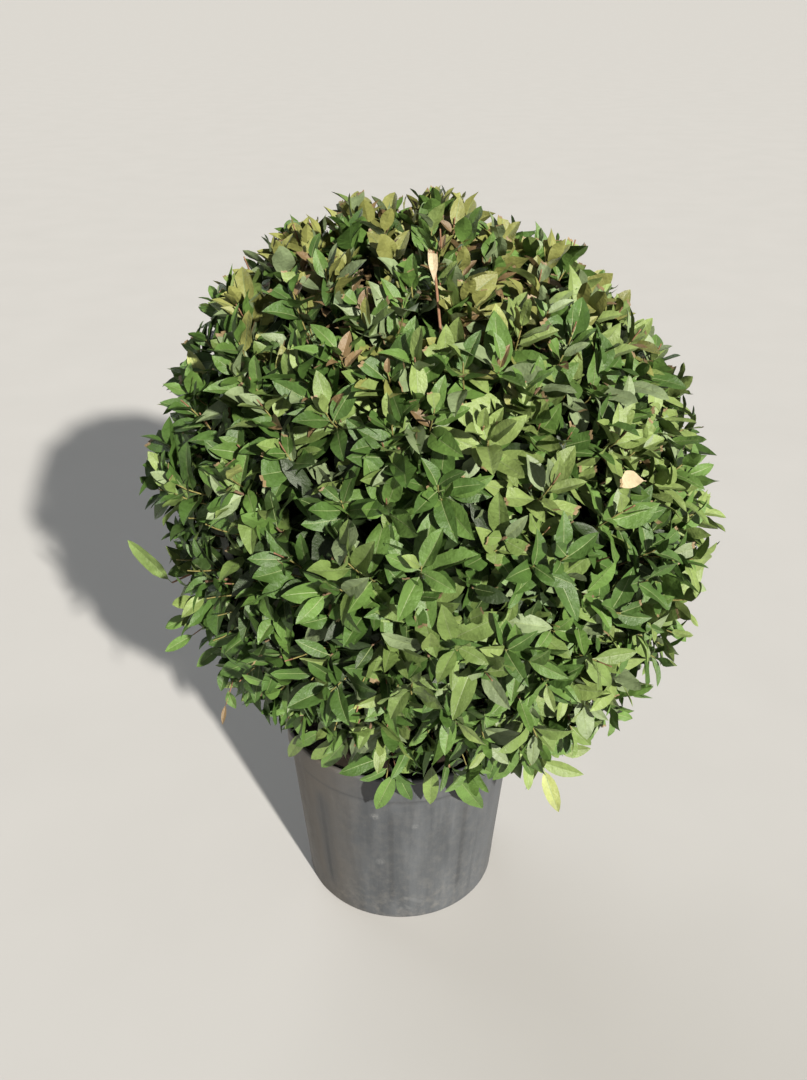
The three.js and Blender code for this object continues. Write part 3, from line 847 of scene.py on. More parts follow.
trunk_bend = (TRUNK_FOOT + TRUNK_FORK) / 2 + TRUNK_BOW
trunk_path = np.array([TRUNK_FOOT - [0, 0, TRUNK_SUNK], trunk_bend, TRUNK_FORK])
trunk = bent_limb(trunk_path, TRUNK_RADII, rings=22, relief=0.0022, flares=TRUNK_FLARES)
trunk = settle(trunk, "trunk_bark", BARK, WOOD_SMOOTH)
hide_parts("trunk")

leader_foot = TRUNK_FORK + [0, 0, GAP]
leader_bend = (leader_foot + LEADER_TIP) / 2 + LEADER_BOW
leader_path = np.array([leader_foot - [0, 0, LEADER_SUNK], leader_bend, LEADER_TIP])
leader = bent_limb(leader_path, LEADER_RADII, rings=30, relief=0.0016)
leader = settle(leader, "leader_bark", BARK, WOOD_SMOOTH)
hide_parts("bough_leader")
print("trunk is", round(2 * TRUNK_RADII[-1], 3), "m thick at its fork")

# %% [markdown]
# ## Side boughs
# Four boughs leave the trunk below its fork and rise in a bow into the foliage. They differ only
# in direction and height, so one loop bends the same kind of rod four times. The tip of each is
# also the foot of a stub that goes on into the ball.

# %% Side boughs
BOUGH_FOOT = np.array([0.010, 0.002, 0.362])
SIDE_BOUGHS = [  # side, turn from +X, how far out and how high its tip is
    ("front", 262, 0.112, 0.530),
    ("right", 338, 0.118, 0.552),
    ("back", 68, 0.112, 0.538),
    ("left", 172, 0.114, 0.560),
]
BOUGH_RADII = [0.013, 0.0112, 0.0094, 0.0075]
BOUGH_HANDLE_OUT = 0.084
BOUGH_HANDLE_UP = 0.062
STUB_LENGTH = 0.06

stubs = []
for side, turn, out, height in SIDE_BOUGHS:
    level = direction(turn, 0)
    tip = np.array([HOLLOW_CENTRE_X, 0, height]) + out * level
    handle = BOUGH_FOOT + BOUGH_HANDLE_OUT * level + [0, 0, BOUGH_HANDLE_UP]
    path = np.array([BOUGH_FOOT, handle, tip])
    bough = bent_limb(path, BOUGH_RADII, rings=26, relief=0.0012)
    bough = settle(bough, "bough_" + side + "_bark", BARK, WOOD_SMOOTH)
    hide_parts("bough_" + side)
    heading = bend_heading(path, 1.0)
    stubs.append(np.array([tip + GAP * heading, tip + STUB_LENGTH * heading]))
print("side boughs end at", [round(float(stub[0][2]), 3) for stub in stubs], "m up")

# %% [markdown]
# ## Growing the twigs
# The stem of the ball goes on from the leader's tip, and a stub from the tip of each side bough.
# Shoots leave them in all directions, spread evenly by the golden turn, exactly as in the source.
# The source stops there. Here every shoot carries branches, and every branch carries sprays. Each
# is placed by the same even spread and grows from the nearest wood, and it is left out where it
# would cross the hollow, leave the reach or hang in front of the pot.

# %% Stem and main shoots, as in the source
SHOOTS = 65
SHOOT_SHARE = 0.9
SHOOT_SLOPE = 0.6
SHOOT_LEAST_RISE = 0.28
SHOOT_WANDER = 0.08
SHOOT_START_ON_STUB = 0.9
SHOOT_MARGIN = 0.002
SHOOT_CHECKS = 25
STEM_SHARE = 0.62
STEM_HANDLE = 0.12
STEM_BARE = 0.06
SKIRT_SHOOTS = 14
SKIRT_SHOOT_RISE = -50
SKIRT_SHOOT_SHARE = 0.86
LEAVES_IN_SOURCE = {"ball": 6, "skirt": 3, "stray": 3}
STRAYS = [  # turn, rise and how far past the reach each goes
    (189, -17, 0.030),
    (208, -41, 0.048),
    (311, -54, 0.052),
]

onward = bend_heading(leader_path, 1.0)
stem_foot = LEADER_TIP + GAP * onward
stem_tip = on_ball(direction(0, 90), STEM_SHARE)
stem_path = np.array([stem_foot, stem_foot + STEM_HANDLE * onward, stem_tip])


def starts_for(end):
    """Where a shoot to that end may start: on the stem, or else on the nearest stub."""
    out = math.hypot(end[0] - stem_tip[0], end[1] - stem_tip[1])
    rise = max(out * SHOOT_SLOPE, SHOOT_LEAST_RISE)
    height = min(max(end[2] - rise, stem_foot[2] + STEM_BARE), stem_tip[2])
    on_stem = bend_points(stem_path, (height - stem_foot[2]) / (stem_tip[2] - stem_foot[2]))
    near = sorted(stubs, key=lambda stub: np.linalg.norm(end - stub[1]))
    along = SHOOT_START_ON_STUB
    return [on_stem] + [(1 - along) * foot + along * tip for foot, tip in near]


def clear_line(start, end):
    shares = np.linspace(0, 1, SHOOT_CHECKS)[:, None]
    return bool(open_air(start + shares * (end - start), SHOOT_MARGIN).all())


def main_shoots():
    """Start, end, kind and room past the reach of every shoot, in the source's order of chance."""
    chance = Chance(SEED)
    grown = []

    def shoot(end, kind, beyond=0.0):
        start = next((spot for spot in starts_for(end) if clear_line(spot, end)), None)
        chance.one()
        if start is not None:
            chance.many(2 * LEAVES_IN_SOURCE[kind])
            grown.append((start, end, kind, beyond))

    for number in range(SHOOTS):
        height = 1 - 2 * (number + 0.5) / SHOOTS
        level = math.sqrt(1 - height * height)
        turn = number * GOLDEN_TURN
        aim = np.array([level * math.cos(turn), level * math.sin(turn), height])
        aim = unit(aim + SHOOT_WANDER * (chance.many(3) - 0.5))
        shoot(on_ball(aim, SHOOT_SHARE), "ball")
    for number in range(SKIRT_SHOOTS):
        turn = (number + 0.5 * chance.one()) * 360 / SKIRT_SHOOTS
        shoot(on_ball(direction(turn, SKIRT_SHOOT_RISE), SKIRT_SHOOT_SHARE), "skirt")
    for turn, rise, beyond in STRAYS:
        shoot(on_ball(direction(turn, rise), SHOOT_SHARE), "stray", beyond)
    return grown


shoots = main_shoots()
shoot_starts, shoot_ends, shoot_kinds, shoot_beyond = (np.array(column) for column in zip(*shoots))
for kind in LEAVES_IN_SOURCE:
    print(int((shoot_kinds == kind).sum()), kind, "shoots grow from the stem and the boughs")

# %% [markdown]
# ## Branches and sprays
# Every cut makes a twig fork, so the outside of a clipped ball is a dense mass of short sprays.
# They could be scattered over the ball, but then their feet would hang in the air. Here each one
# looks for the wood whose tip points most nearly its own way, and starts somewhere along it.

# %% Branches and sprays
BRANCHES = 340
SPRAYS = 840
TOP_SPRAYS = 120
TOP_FROM = 0.62
LIFT_HEIGHTS = [-1, -0.6, -0.3, 0.1, 1]
LIFTS = [-0.3, -0.2, 0.3, 0.7, 0.9]
WAY_WANDER = 0.35
HANDLE_SHARE = 0.45
BRANCH_END = (0.78, 0.08)  # the least share of the reach, and how much more by chance
SPRAY_END = (0.8, 0.16)
TWIG_MARGIN = 0.004
TWIG_CHECKS = np.linspace(0.05, 1, 12)
chance = Chance(SEED + 1)


def scatter(spread, *shape):
    """Chance numbers to both sides of nought."""
    return spread * (chance.many(*shape) - 0.5)


def even_aims(count, wander):
    """Directions spread evenly over the ball, each a little off its place by chance."""
    number = np.arange(count)
    height = 1 - 2 * (number + 0.5) / count
    level = np.sqrt(1 - height**2)
    turn = number * GOLDEN_TURN
    aims = np.stack([level * np.cos(turn), level * np.sin(turn), height], axis=-1)
    return unit(aims + scatter(wander, count, 3))


def growing_way(aims):
    """Twigs grow outwards, and turn up to the light, but hang a little under the ball."""
    way = unit(aims + np.interp(aims[:, 2], LIFT_HEIGHTS, LIFTS)[:, None] * [0, 0, 1])
    return unit(way + scatter(WAY_WANDER, len(aims), 3))


def grow(aims, end_share, parents, ways, from_share, to_share):
    """Paths to the aims, each from the nearest parent path, with its own last heading."""
    ends = on_ball(aims, end_share)
    parent_aims = unit(parents[:, 2] - BALL_CENTRE)
    nearest = np.argmax(aims @ parent_aims.T, axis=1)
    shares = from_share + (to_share - from_share) * chance.many(len(aims))
    starts = bend_points(parents[nearest], shares)
    length = np.linalg.norm(ends - starts, axis=1)[:, None]
    handles = ends - HANDLE_SHARE * length * ways
    paths = np.stack([starts, handles, ends], axis=1)
    along = bend_points(paths[:, None], TWIG_CHECKS[None, :])
    clear = open_air(along, TWIG_MARGIN) & (room_left(along) > 0) & above_rim(along)
    return paths[clear.all(axis=1)]


def straight(starts, ends):
    return np.stack([starts, (starts + ends) / 2, ends], axis=1)


shoot_paths = straight(shoot_starts, shoot_ends)
ball_shoots = shoot_paths[shoot_kinds == "ball"]
branch_aims = even_aims(BRANCHES, wander=0.1)
branch_ends = BRANCH_END[0] + BRANCH_END[1] * chance.many(BRANCHES)
branch_paths = grow(branch_aims, branch_ends, ball_shoots, growing_way(branch_aims),
                    from_share=0.4, to_share=0.8)
top_aims = even_aims(round(2 * TOP_SPRAYS / (1 - TOP_FROM)), wander=0.2)
top_aims = top_aims[top_aims[:, 2] > TOP_FROM]
spray_aims = np.concatenate([even_aims(SPRAYS, wander=0.15), top_aims])
spray_ends = SPRAY_END[0] + SPRAY_END[1] * chance.many(len(spray_aims))
spray_paths = grow(spray_aims, spray_ends, branch_paths, growing_way(spray_aims),
                   from_share=0.3, to_share=0.85)
print(len(branch_paths), "branches and", len(spray_paths), "sprays have grown")

# %% [markdown]
# ## Twigs as joined meshes
# Hundreds of twigs as single objects would be slow. One round rod is modelled by hand, and every
# twig is a copy of it that is bent along its own path and tapered. The copies of one kind are
# joined into one mesh while they are made.

# %% One rod, and meshes of many bent copies


def model_of(thing):
    """Corners and faces of a modelled blank, which is then removed."""
    clean_slate()
    corners = np.array([corner.co for corner in thing.data.vertices])
    faces = [tuple(face.vertices) for face in thing.data.polygons]
    bpy.data.objects.remove(thing)
    return corners, faces


def rod_blank(sides, rings):
    return model_of(turned_up([(1.0, step / rings) for step in range(rings + 1)], sides))


def joined_mesh(name, corners, faces, finish, crease=()):
    """One mesh of many copies: corners is copies x corners x 3, faces are of one copy."""
    copies, count = corners.shape[:2]
    sizes = np.array([len(face) for face in faces])
    loops = np.concatenate([np.array(face) for face in faces])
    every_loop = (np.arange(copies)[:, None] * count + loops[None, :]).ravel()
    every_size = np.tile(sizes, copies)
    mesh = bpy.data.meshes.new(name)
    mesh.vertices.add(copies * count)
    mesh.vertices.foreach_set("co", corners.astype(np.float32).ravel())
    mesh.loops.add(len(every_loop))
    mesh.loops.foreach_set("vertex_index", every_loop.astype(np.int32))
    mesh.polygons.add(len(every_size))
    starts = np.concatenate([[0], np.cumsum(every_size)[:-1]])
    mesh.polygons.foreach_set("loop_start", starts.astype(np.int32))
    mesh.update(calc_edges=True)
    mesh.validate()
    mesh.polygons.foreach_set("use_smooth", np.ones(len(every_size), bool))
    if len(crease):
        ends = np.zeros(2 * len(mesh.edges), np.int32)
        mesh.edges.foreach_get("vertices", ends)
        sharp = np.isin(ends.reshape(-1, 2) % count, crease).all(axis=1)
        mesh.attributes.new("sharp_edge", "BOOLEAN", "EDGE").data.foreach_set("value", sharp)
    mesh.materials.append(finish)
    thing = bpy.data.objects.new(name, mesh)
    scene.collection.objects.link(thing)
    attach(thing, "root")
    triangles = int((every_size - 2).sum())
    print(f"{name}: {copies} copies, {triangles} triangles")
    return thing


def bent_rods(blank, paths, foot_radius, tip_radius):
    """Copies of the rod along each path, tapering from foot to tip."""
    corners = blank[0]
    share = np.clip(corners[:, 2], 0, 1)
    middle = bend_points(paths[:, None], share[None, :])
    along = bend_heading(paths[:, None], share[None, :])
    first, second = sideways(along)
    foot_radius, tip_radius = (np.asarray(size)[..., None] for size in (foot_radius, tip_radius))
    radius = foot_radius * (1 - share) + tip_radius * share
    radius = np.broadcast_to(radius, middle.shape[:2])[..., None]
    return middle + radius * (corners[None, :, :1] * first + corners[None, :, 1:2] * second)


print("rods can be bent and joined")

# %% The wood of the ball, from its stem to its sprays
STEM_RADII = (0.011, 0.005)
STUB_RADII = (0.0075, 0.006)

thick_rod = rod_blank(sides=10, rings=12)
shoot_rod = rod_blank(sides=7, rings=8)
branch_rod = rod_blank(sides=5, rings=7)
spray_rod = rod_blank(sides=4, rings=5)
stub_paths = straight(*np.array(stubs).transpose(1, 0, 2))
stem_wood = bent_rods(thick_rod, stem_path[None], *STEM_RADII)
stub_wood = bent_rods(thick_rod, stub_paths, *STUB_RADII)
thick_wood = np.concatenate([stem_wood, stub_wood])
joined_mesh("ball_stem", thick_wood, thick_rod[1], BARK)
for name, rod, paths, foot_radius, tip_radius, bark in (
    ("main_shoots", shoot_rod, shoot_paths, 0.0042, 0.0018, TWIG_BROWN),
    ("branches", branch_rod, branch_paths, 0.0024, 0.0012, TWIG_BROWN),
    ("spray_twigs", spray_rod, spray_paths, 0.0015, 0.0009, TWIG_GREEN),
):
    wood = bent_rods(rod, paths, foot_radius, tip_radius)
    joined_mesh(name, wood, rod[1], bark)

# %% [markdown]
# ## Leaf blanks
# A bay leaf is a pointed ellipse, 50 to 90 mm long, on a short stalk. Its blade is folded a
# little along the rib, its edge waves, and its tip bends back and to one side. A few blanks are
# modelled from a grid: every corner is moved to its place on the outline and lifted, row by row.
# One blank is a leaf that the shears have cut through, which ends in a slant, and a plainer one
# is for the dark inside of the ball.

# %% Leaf: blanks modelled row by row
LEAF_STRIPS = 4
LEAF_OUTLINE = [0.03, 0.045, 0.5, 0.87, 1.0, 0.95, 0.73, 0.38, 0.02]
LEAF_ROW_PLACES = [0, 0.08, 0.18, 0.31, 0.46, 0.62, 0.78, 0.91, 1.0]
CUT_OUTLINE = [0.035, 0.05, 0.4, 0.78, 0.98, 1.0, 0.98, 0.95, 0.9]
CUT_ROW_PLACES = [0, 0.08, 0.19, 0.31, 0.42, 0.52, 0.59, 0.63, 0.66]
WHOLE_LEAF = (LEAF_OUTLINE, LEAF_ROW_PLACES, LEAF_STRIPS)
CUT_LEAF = (CUT_OUTLINE, CUT_ROW_PLACES, LEAF_STRIPS)
INNER_LEAF = ([0.03, 0.8, 1.0, 0.75, 0.02], [0, 0.22, 0.48, 0.76, 1.0], 2)
WAVES_ALONG = 7.5
WAVE_STARTS = (3.3, 0.9)
PARKED = 10  # how far off the finished corners wait, where no later pick finds them


def leaf_blank(outline, places, strips, fold, droop, wave, sway=0.0, skew=0.0):
    """A leaf of length 1 and half width 1; heights are in shares of the half width."""
    clean_slate()
    rows = len(outline) - 1
    bpy.ops.mesh.primitive_grid_add(x_subdivisions=rows, y_subdivisions=strips, size=2)
    leaf = bpy.context.object
    bpy.ops.object.mode_set(mode="EDIT")
    bpy.ops.transform.resize(value=(0.5, 1, 1))
    bpy.ops.transform.translate(value=(0.5, 0, 0))
    for row in range(rows, -1, -1):
        old, new, size = row / rows, places[row], outline[row]
        for strip in range(strips + 1):
            out = 2 * strip / strips - 1
            pick(leaf, lambda place: abs(place.x - old) < NEAR and abs(place.y - out) < NEAR)
            ripple = math.sin(WAVES_ALONG * new + WAVE_STARTS[out > 0])
            lift = fold * abs(out) * size - droop * new**2 + wave * out**2 * ripple * size
            onward = new - old + skew * out * new + PARKED
            aside = out * size - out + sway * new**2
            bpy.ops.transform.translate(value=(onward, aside, lift))
    bpy.ops.mesh.select_all(action="SELECT")
    bpy.ops.transform.translate(value=(-PARKED, 0, 0))
    return model_of(leaf)


LEAF_BLANKS = [
    leaf_blank(*WHOLE_LEAF, fold=0.3, droop=0.2, wave=0.14, sway=0.25),
    leaf_blank(*WHOLE_LEAF, fold=0.16, droop=1.1, wave=0.26, sway=-0.4),
    leaf_blank(*WHOLE_LEAF, fold=0.45, droop=1.6, wave=0.16, sway=0.2),
    leaf_blank(*WHOLE_LEAF, fold=0.1, droop=-0.5, wave=0.34, sway=-0.2),
    leaf_blank(*WHOLE_LEAF, fold=0.6, droop=0.7, wave=0.2, sway=0.6),
    leaf_blank(*CUT_LEAF, fold=0.24, droop=0.5, wave=0.2, skew=0.06),
]
FLATTEST_BLANK = 0
CURLED_BLANK = 2
CUT_BLANK = len(LEAF_BLANKS) - 1
INNER_BLANK = leaf_blank(*INNER_LEAF, fold=0.3, droop=0.9, wave=0.0)
leaf_faces = LEAF_BLANKS[0][1]
print("a leaf blank has", len(LEAF_BLANKS[0][0]), "corners and", len(leaf_faces), "faces")

# %% [markdown]
# ## Setting the leaves
# Leaves stand spirally round the end of every spray, each a golden turn from the last, more
# spread at the foot and more upright at the tip, and they turn their faces to the light. A leaf
# that would leave the reach or enter the pot or the hollow is tried at other turns and smaller,
# and is skipped if none fits. All leaves are worked out at once, as arrays with a row for each
# leaf, because a loop over ten thousand leaves would be slow.

# %% Leaf: which way it points and faces, and whether it fits
TURNS_TO_TRY = (0, 0.5, -0.5, 1.0, -1.0, 1.6, -1.6)
SIZES_TO_TRY = (1.0, 0.9, 0.8)
LIGHT_ALONG = 0.75
LIGHT_OUTWARD = 0.6
LIGHT_UP = 0.35
LEAF_SPOTS = ((1, 0), (0.75, 0), (0.5, 1), (0.5, -1), (0.25, 0))  # along and across it
LEAF_MARGIN = 0.003


def facing(light, forward):
    """The direction square to each leaf's own that comes nearest to the light, and its side."""
    face = unit(light - (light * forward).sum(axis=1)[:, None] * forward)
    return face, np.cross(face, forward)


def blade_axes(frames, turn, hang):
    """Forward, sideways and upward directions of every leaf at that turn."""
    along = frames["along"]
    first, second = sideways(along)
    opening = frames["opening"][:, None]
    round_twig = np.cos(turn)[:, None] * first + np.sin(turn)[:, None] * second
    forward = np.cos(opening) * along + np.sin(opening) * round_twig
    forward = unit(forward - [0, 0, hang])
    outward = unit(frames["root"] - BALL_CENTRE)
    light = LIGHT_ALONG * along + LIGHT_OUTWARD * outward + [0, 0, LIGHT_UP]
    face, side = facing(light, forward)
    cosine, sine = np.cos(frames["twist"])[:, None], np.sin(frames["twist"])[:, None]
    return forward, cosine * side - sine * face, cosine * face + sine * side


def fits(frames, forward, side, size):
    """True where the leaf stays inside the reach and out of the pot and the hollow."""
    length = (frames["length"] * size)[:, None]
    width = (frames["width"] * size)[:, None]
    good = np.ones(len(length), bool)
    for share, out in LEAF_SPOTS:
        point = frames["root"] + share * length * forward + out * width * side
        good &= room_left(point) > -frames["beyond"]
        good &= open_air(point, LEAF_MARGIN)
        good &= above_rim(point)
    return good


def fit_leaves(frames, hang):
    """The leaves that fit, at the first turn and size that do."""
    count = len(frames["root"])
    found = np.zeros(count, bool)
    axes = np.zeros((3, count, 3))
    for shift in TURNS_TO_TRY:
        forward, side, face = blade_axes(frames, frames["turn"] + shift, hang)
        for size in SIZES_TO_TRY:
            new = fits(frames, forward, side, size) & ~found
            axes[:, new] = np.array([forward, side, face])[:, new]
            for name in ("length", "width"):
                frames[name] = np.where(new, frames[name] * size, frames[name])
            found |= new
    kept = {name: values[found] for name, values in frames.items()}
    kept.update(forward=axes[0][found], side=axes[1][found], face=axes[2][found])
    return kept


print("a leaf has", len(TURNS_TO_TRY) * len(SIZES_TO_TRY), "tries to fit")

# %% Leaves along the ends of twigs
LEAF_LENGTH = 0.074
LEAF_LENGTH_RANGE = (0.76, 0.42)  # the least share of that, and how much more by chance
LEAF_SLIMNESS = 0.195
SLIMNESS_SPREAD = 0.06
TIP_LEAF_SHORTER = 0.35
CROWN_SHORTER = 0.16
CROWN_WIDER = 0.22
CROWN_UPRIGHT = 0.4
TURN_SPREAD = 0.5
OPENING_SPREAD = 28
TWIST_SPREAD = 1.6
TIP_BARE = 0.003


def set_leaves(paths, count, leafy, openings, beyond, length=LEAF_LENGTH, hang=0.0):
    """Frames of the leaves on the leafy ends of the given twigs, as a dict of arrays."""
    twigs = len(paths)
    height = np.clip(unit(paths[:, 2] - BALL_CENTRE)[:, 2:], 0, 1)
    number = np.arange(count)[None, :]
    rank = number / (count - 1)
    full = np.linalg.norm(paths[:, 2] - paths[:, 0], axis=1)[:, None]
    share = np.clip(1 - (TIP_BARE + (1 - rank) * leafy) / full, 0.02, 1)
    turn = chance.many(twigs, 1) * 2 * math.pi + number * GOLDEN_TURN
    turn = turn + scatter(TURN_SPREAD, twigs, count)
    opening = openings[0] + (openings[1] - openings[0]) * rank
    opening = (1 - CROWN_UPRIGHT * height**2) * opening + scatter(OPENING_SPREAD, twigs, count)
    least, spread = LEAF_LENGTH_RANGE
    lengths = length * (least + spread * chance.many(twigs, count))
    lengths = lengths * (1 - TIP_LEAF_SHORTER * rank**3) * (1 - CROWN_SHORTER * height**3)
    widths = lengths * (LEAF_SLIMNESS + scatter(SLIMNESS_SPREAD, twigs, count))
    frames = {
        "spray": np.arange(twigs)[:, None],
        "rank": rank,
        "turn": turn,
        "opening": np.radians(opening),
        "length": lengths,
        "width": widths * (1 + CROWN_WIDER * height**2),
        "twist": scatter(TWIST_SPREAD, twigs, count),
        "beyond": np.broadcast_to(beyond, (twigs,))[:, None],
    }
    for name, values in frames.items():
        frames[name] = np.broadcast_to(values, (twigs, count)).reshape(-1)
    frames["root"] = bend_points(paths[:, None], share).reshape(-1, 3)
    frames["along"] = bend_heading(paths[:, None], share).reshape(-1, 3)
    return fit_leaves(frames, hang)


print("leaves are about", LEAF_LENGTH, "m long")

# %% [markdown]
# ## Leaves of every kind of twig
# Sprays and the tips of shoots are full of leaves, and some of them stick out where the shears
# have not passed yet. The leaves of the skirt hang, those of the stray shoots are long and lie
# along their twig, and the large ones on the branches are in the dark, where most of them are
# coloured darker still as painted shade. One function sets them all, and only its numbers differ.

# %% Leaves of the sprays, the shoots, the branches and the inside
UNCLIPPED_SHARE = 0.4
UNCLIPPED_BEYOND = 0.026
CLIPPED_BEYOND = 0.002

unclipped = (chance.many(len(spray_paths)) - (1 - UNCLIPPED_SHARE)) / UNCLIPPED_SHARE
spray_beyond = np.where(unclipped > 0, UNCLIPPED_BEYOND * unclipped, CLIPPED_BEYOND)
skirt_shoots = shoot_paths[shoot_kinds == "skirt"]
stray_shoots = shoot_paths[shoot_kinds == "stray"]
stray_beyond = shoot_beyond[shoot_kinds == "stray"]

# twigs, leaves on each, length of the leafy end, opening there from first to last leaf, and reach
spray_leaves = set_leaves(spray_paths, 9, 0.06, (86, 34), spray_beyond)
tip_leaves = set_leaves(ball_shoots, 9, 0.065, (86, 34), 0.01)
skirt_leaves = set_leaves(skirt_shoots, 8, 0.07, (75, 30), 0.004, hang=0.6)
stray_leaves = set_leaves(stray_shoots, 6, 0.05, (50, 12), stray_beyond, length=0.095)
branch_leaves = set_leaves(branch_paths, 4, 0.08, (76, 36), -0.014)
inner_leaves = set_leaves(branch_paths, 7, 0.22, (75, 60), -0.03, length=0.085)
heart_leaves = set_leaves(shoot_paths, 16, 0.3, (80, 70), -0.06, length=0.09)
for name, frames in (("spray", spray_leaves), ("shoot tip", tip_leaves), ("skirt", skirt_leaves),
                     ("stray", stray_leaves), ("branch", branch_leaves), ("inner", inner_leaves),
                     ("heart", heart_leaves)):
    print(len(frames["root"]), name, "leaves")

# %% [markdown]
# ## Dealing out the colours
# Most sprays are deep or middle green: deeper on the shady left, as painted shade, and lighter
# and yellower on the sunny right, as painted light. The crown has golden leaves and most of the
# dry ones, because the shears pass there most often. A few leaves have yellowed, and a few are
# pale: partly pale undersides, partly painted sheen, which grows towards the top as a painted
# reflection of the sky. A spray draws once, so its leaves keep together in colour, and each leaf
# draws again for what befalls single leaves. Some sprays, most of them low on the shady side,
# stay bare, which opens dark gaps.

# %% Kinds of leaf by spray
KINDS = ["deep", "green", "olive", "fresh", "golden", "pale", "yellowed", "bleached", "dry", "shade"]
# directions in which the leaf colours carry painted light (sunny) and painted shade (shady)
SUNNY_SIDE = (-22, 36)
SHADY_SIDE = (204, -16)
CROWN_FROM = 0.62
CROWN_DEPTH = 0.27
YOUNG_RANK = 0.8
OPEN_PLACES = [  # turn, rise and the share of bare sprays there
    (203, -10, 0.34),
    (232, -36, 0.2),
    (300, -45, 0.1),
]
DRY_PLACES = [  # turn and rise of the browned bits
    (243, 39),
    (248, 46),
    (204, 65),
    (248, 60),
    (297, -2),
    (248, 73),
    (8, 77),
    (95, 50),
    (150, 30),
    (40, 20),
]
DRY_PLACE_SIZE = 3.2
DRY_PLACE_SHARE = 0.5
DRY_SHRINKING = 0.6
BRANCH_SHADE_SHARE = 0.75


def towards(aims, turn, rise):
    """From 0 to 1: how nearly each direction points that way."""
    return np.clip(aims @ direction(turn, rise), 0, 1) ** 2


def deal_kinds(frames, twigs, young=1.0):
    """The kind of every leaf: later rules overrule earlier ones."""
    draw = chance.many(twigs)[frames["spray"]]
    own = chance.many(len(frames["root"]))
    aims = unit(frames["root"] - BALL_CENTRE)
    height = np.clip(aims[:, 2], 0, 1)
    crown = np.clip((height - CROWN_FROM) / CROWN_DEPTH, 0, 1)
    sunny, shady = towards(aims, *SUNNY_SIDE), towards(aims, *SHADY_SIDE)
    # painted shade and light: the shady side draws more deep green, the sunny side more olive and
    # fresh
    deep_to = 0.3 + 0.44 * shady - 0.12 * crown - 0.16 * sunny
    olive_from = 0.7 - 0.3 * sunny + 0.24 * shady
    fresh_from = 1 - young * (0.05 + 0.5 * sunny - 0.04 * shady)
    kind = np.full(len(own), "green", "U8")
    kind[draw < deep_to] = "deep"
    kind[draw > olive_from] = "olive"
    kind[draw > fresh_from] = "fresh"
    kind[(own < 0.2 * young) & (frames["rank"] > YOUNG_RANK)] = "fresh"
    kind[(draw > 0.42) & (own < 0.78 * crown)] = "golden"
    # pale: partly pale undersides, partly painted sheen, more towards the top as painted sky
    # reflection
    kind[(own > 0.3) & (own < 0.37 + 0.07 * height**2)] = "pale"
    kind[own > 0.998 - 0.24 * height**5] = "dry"
    kind[(own > 0.46) & (own < 0.463)] = "yellowed"
    for turn, rise in DRY_PLACES:
        off = np.degrees(np.arccos(np.clip(aims @ direction(turn, rise), -1, 1)))
        kind[(off < DRY_PLACE_SIZE) & (own < DRY_PLACE_SHARE)] = "dry"
    return kind


def thinned(frames, twigs):
    """The leaves that are left when some sprays are bare."""
    draw = Chance(SEED + 2).many(twigs)[frames["spray"]]
    aims = unit(frames["root"] - BALL_CENTRE)
    bare = sum(share * towards(aims, turn, rise) for turn, rise, share in OPEN_PLACES)
    return {name: values[draw > bare] for name, values in frames.items()}


spray_leaves["kind"] = deal_kinds(spray_leaves, len(spray_paths))
spray_leaves = thinned(spray_leaves, len(spray_paths))
tip_leaves["kind"] = deal_kinds(tip_leaves, len(ball_shoots))
skirt_leaves["kind"] = deal_kinds(skirt_leaves, len(skirt_shoots), young=0.5)
stray_leaves["kind"] = np.full(len(stray_leaves["root"]), "fresh", "U8")
# most leaves on the branches get the shade colour, which is painted shade
shaded = chance.many(len(branch_leaves["root"])) < BRANCH_SHADE_SHARE
branch_leaves["kind"] = np.where(shaded, "shade", "deep")
for frames in (spray_leaves, tip_leaves, skirt_leaves):
    shrinking = np.where(frames["kind"] == "dry", DRY_SHRINKING, 1.0)
    for name in ("length", "width"):
        frames[name] = frames[name] * shrinking
print(len(spray_leaves["root"]), "spray leaves are left on the sprays that are not bare")

# %% [markdown]
# ## Leaves in their own places
# Some leaves of this plant catch the eye, and no rule would set them just so: the long one that
# stands off on the left, the sprigs below it, those that hang over the pot's band, the pale sprig
# low on the right, and the bleached one on a bare stick near the top. They are listed one by one,
# each by its root, its tip and its half width, with the twigs that carry them.

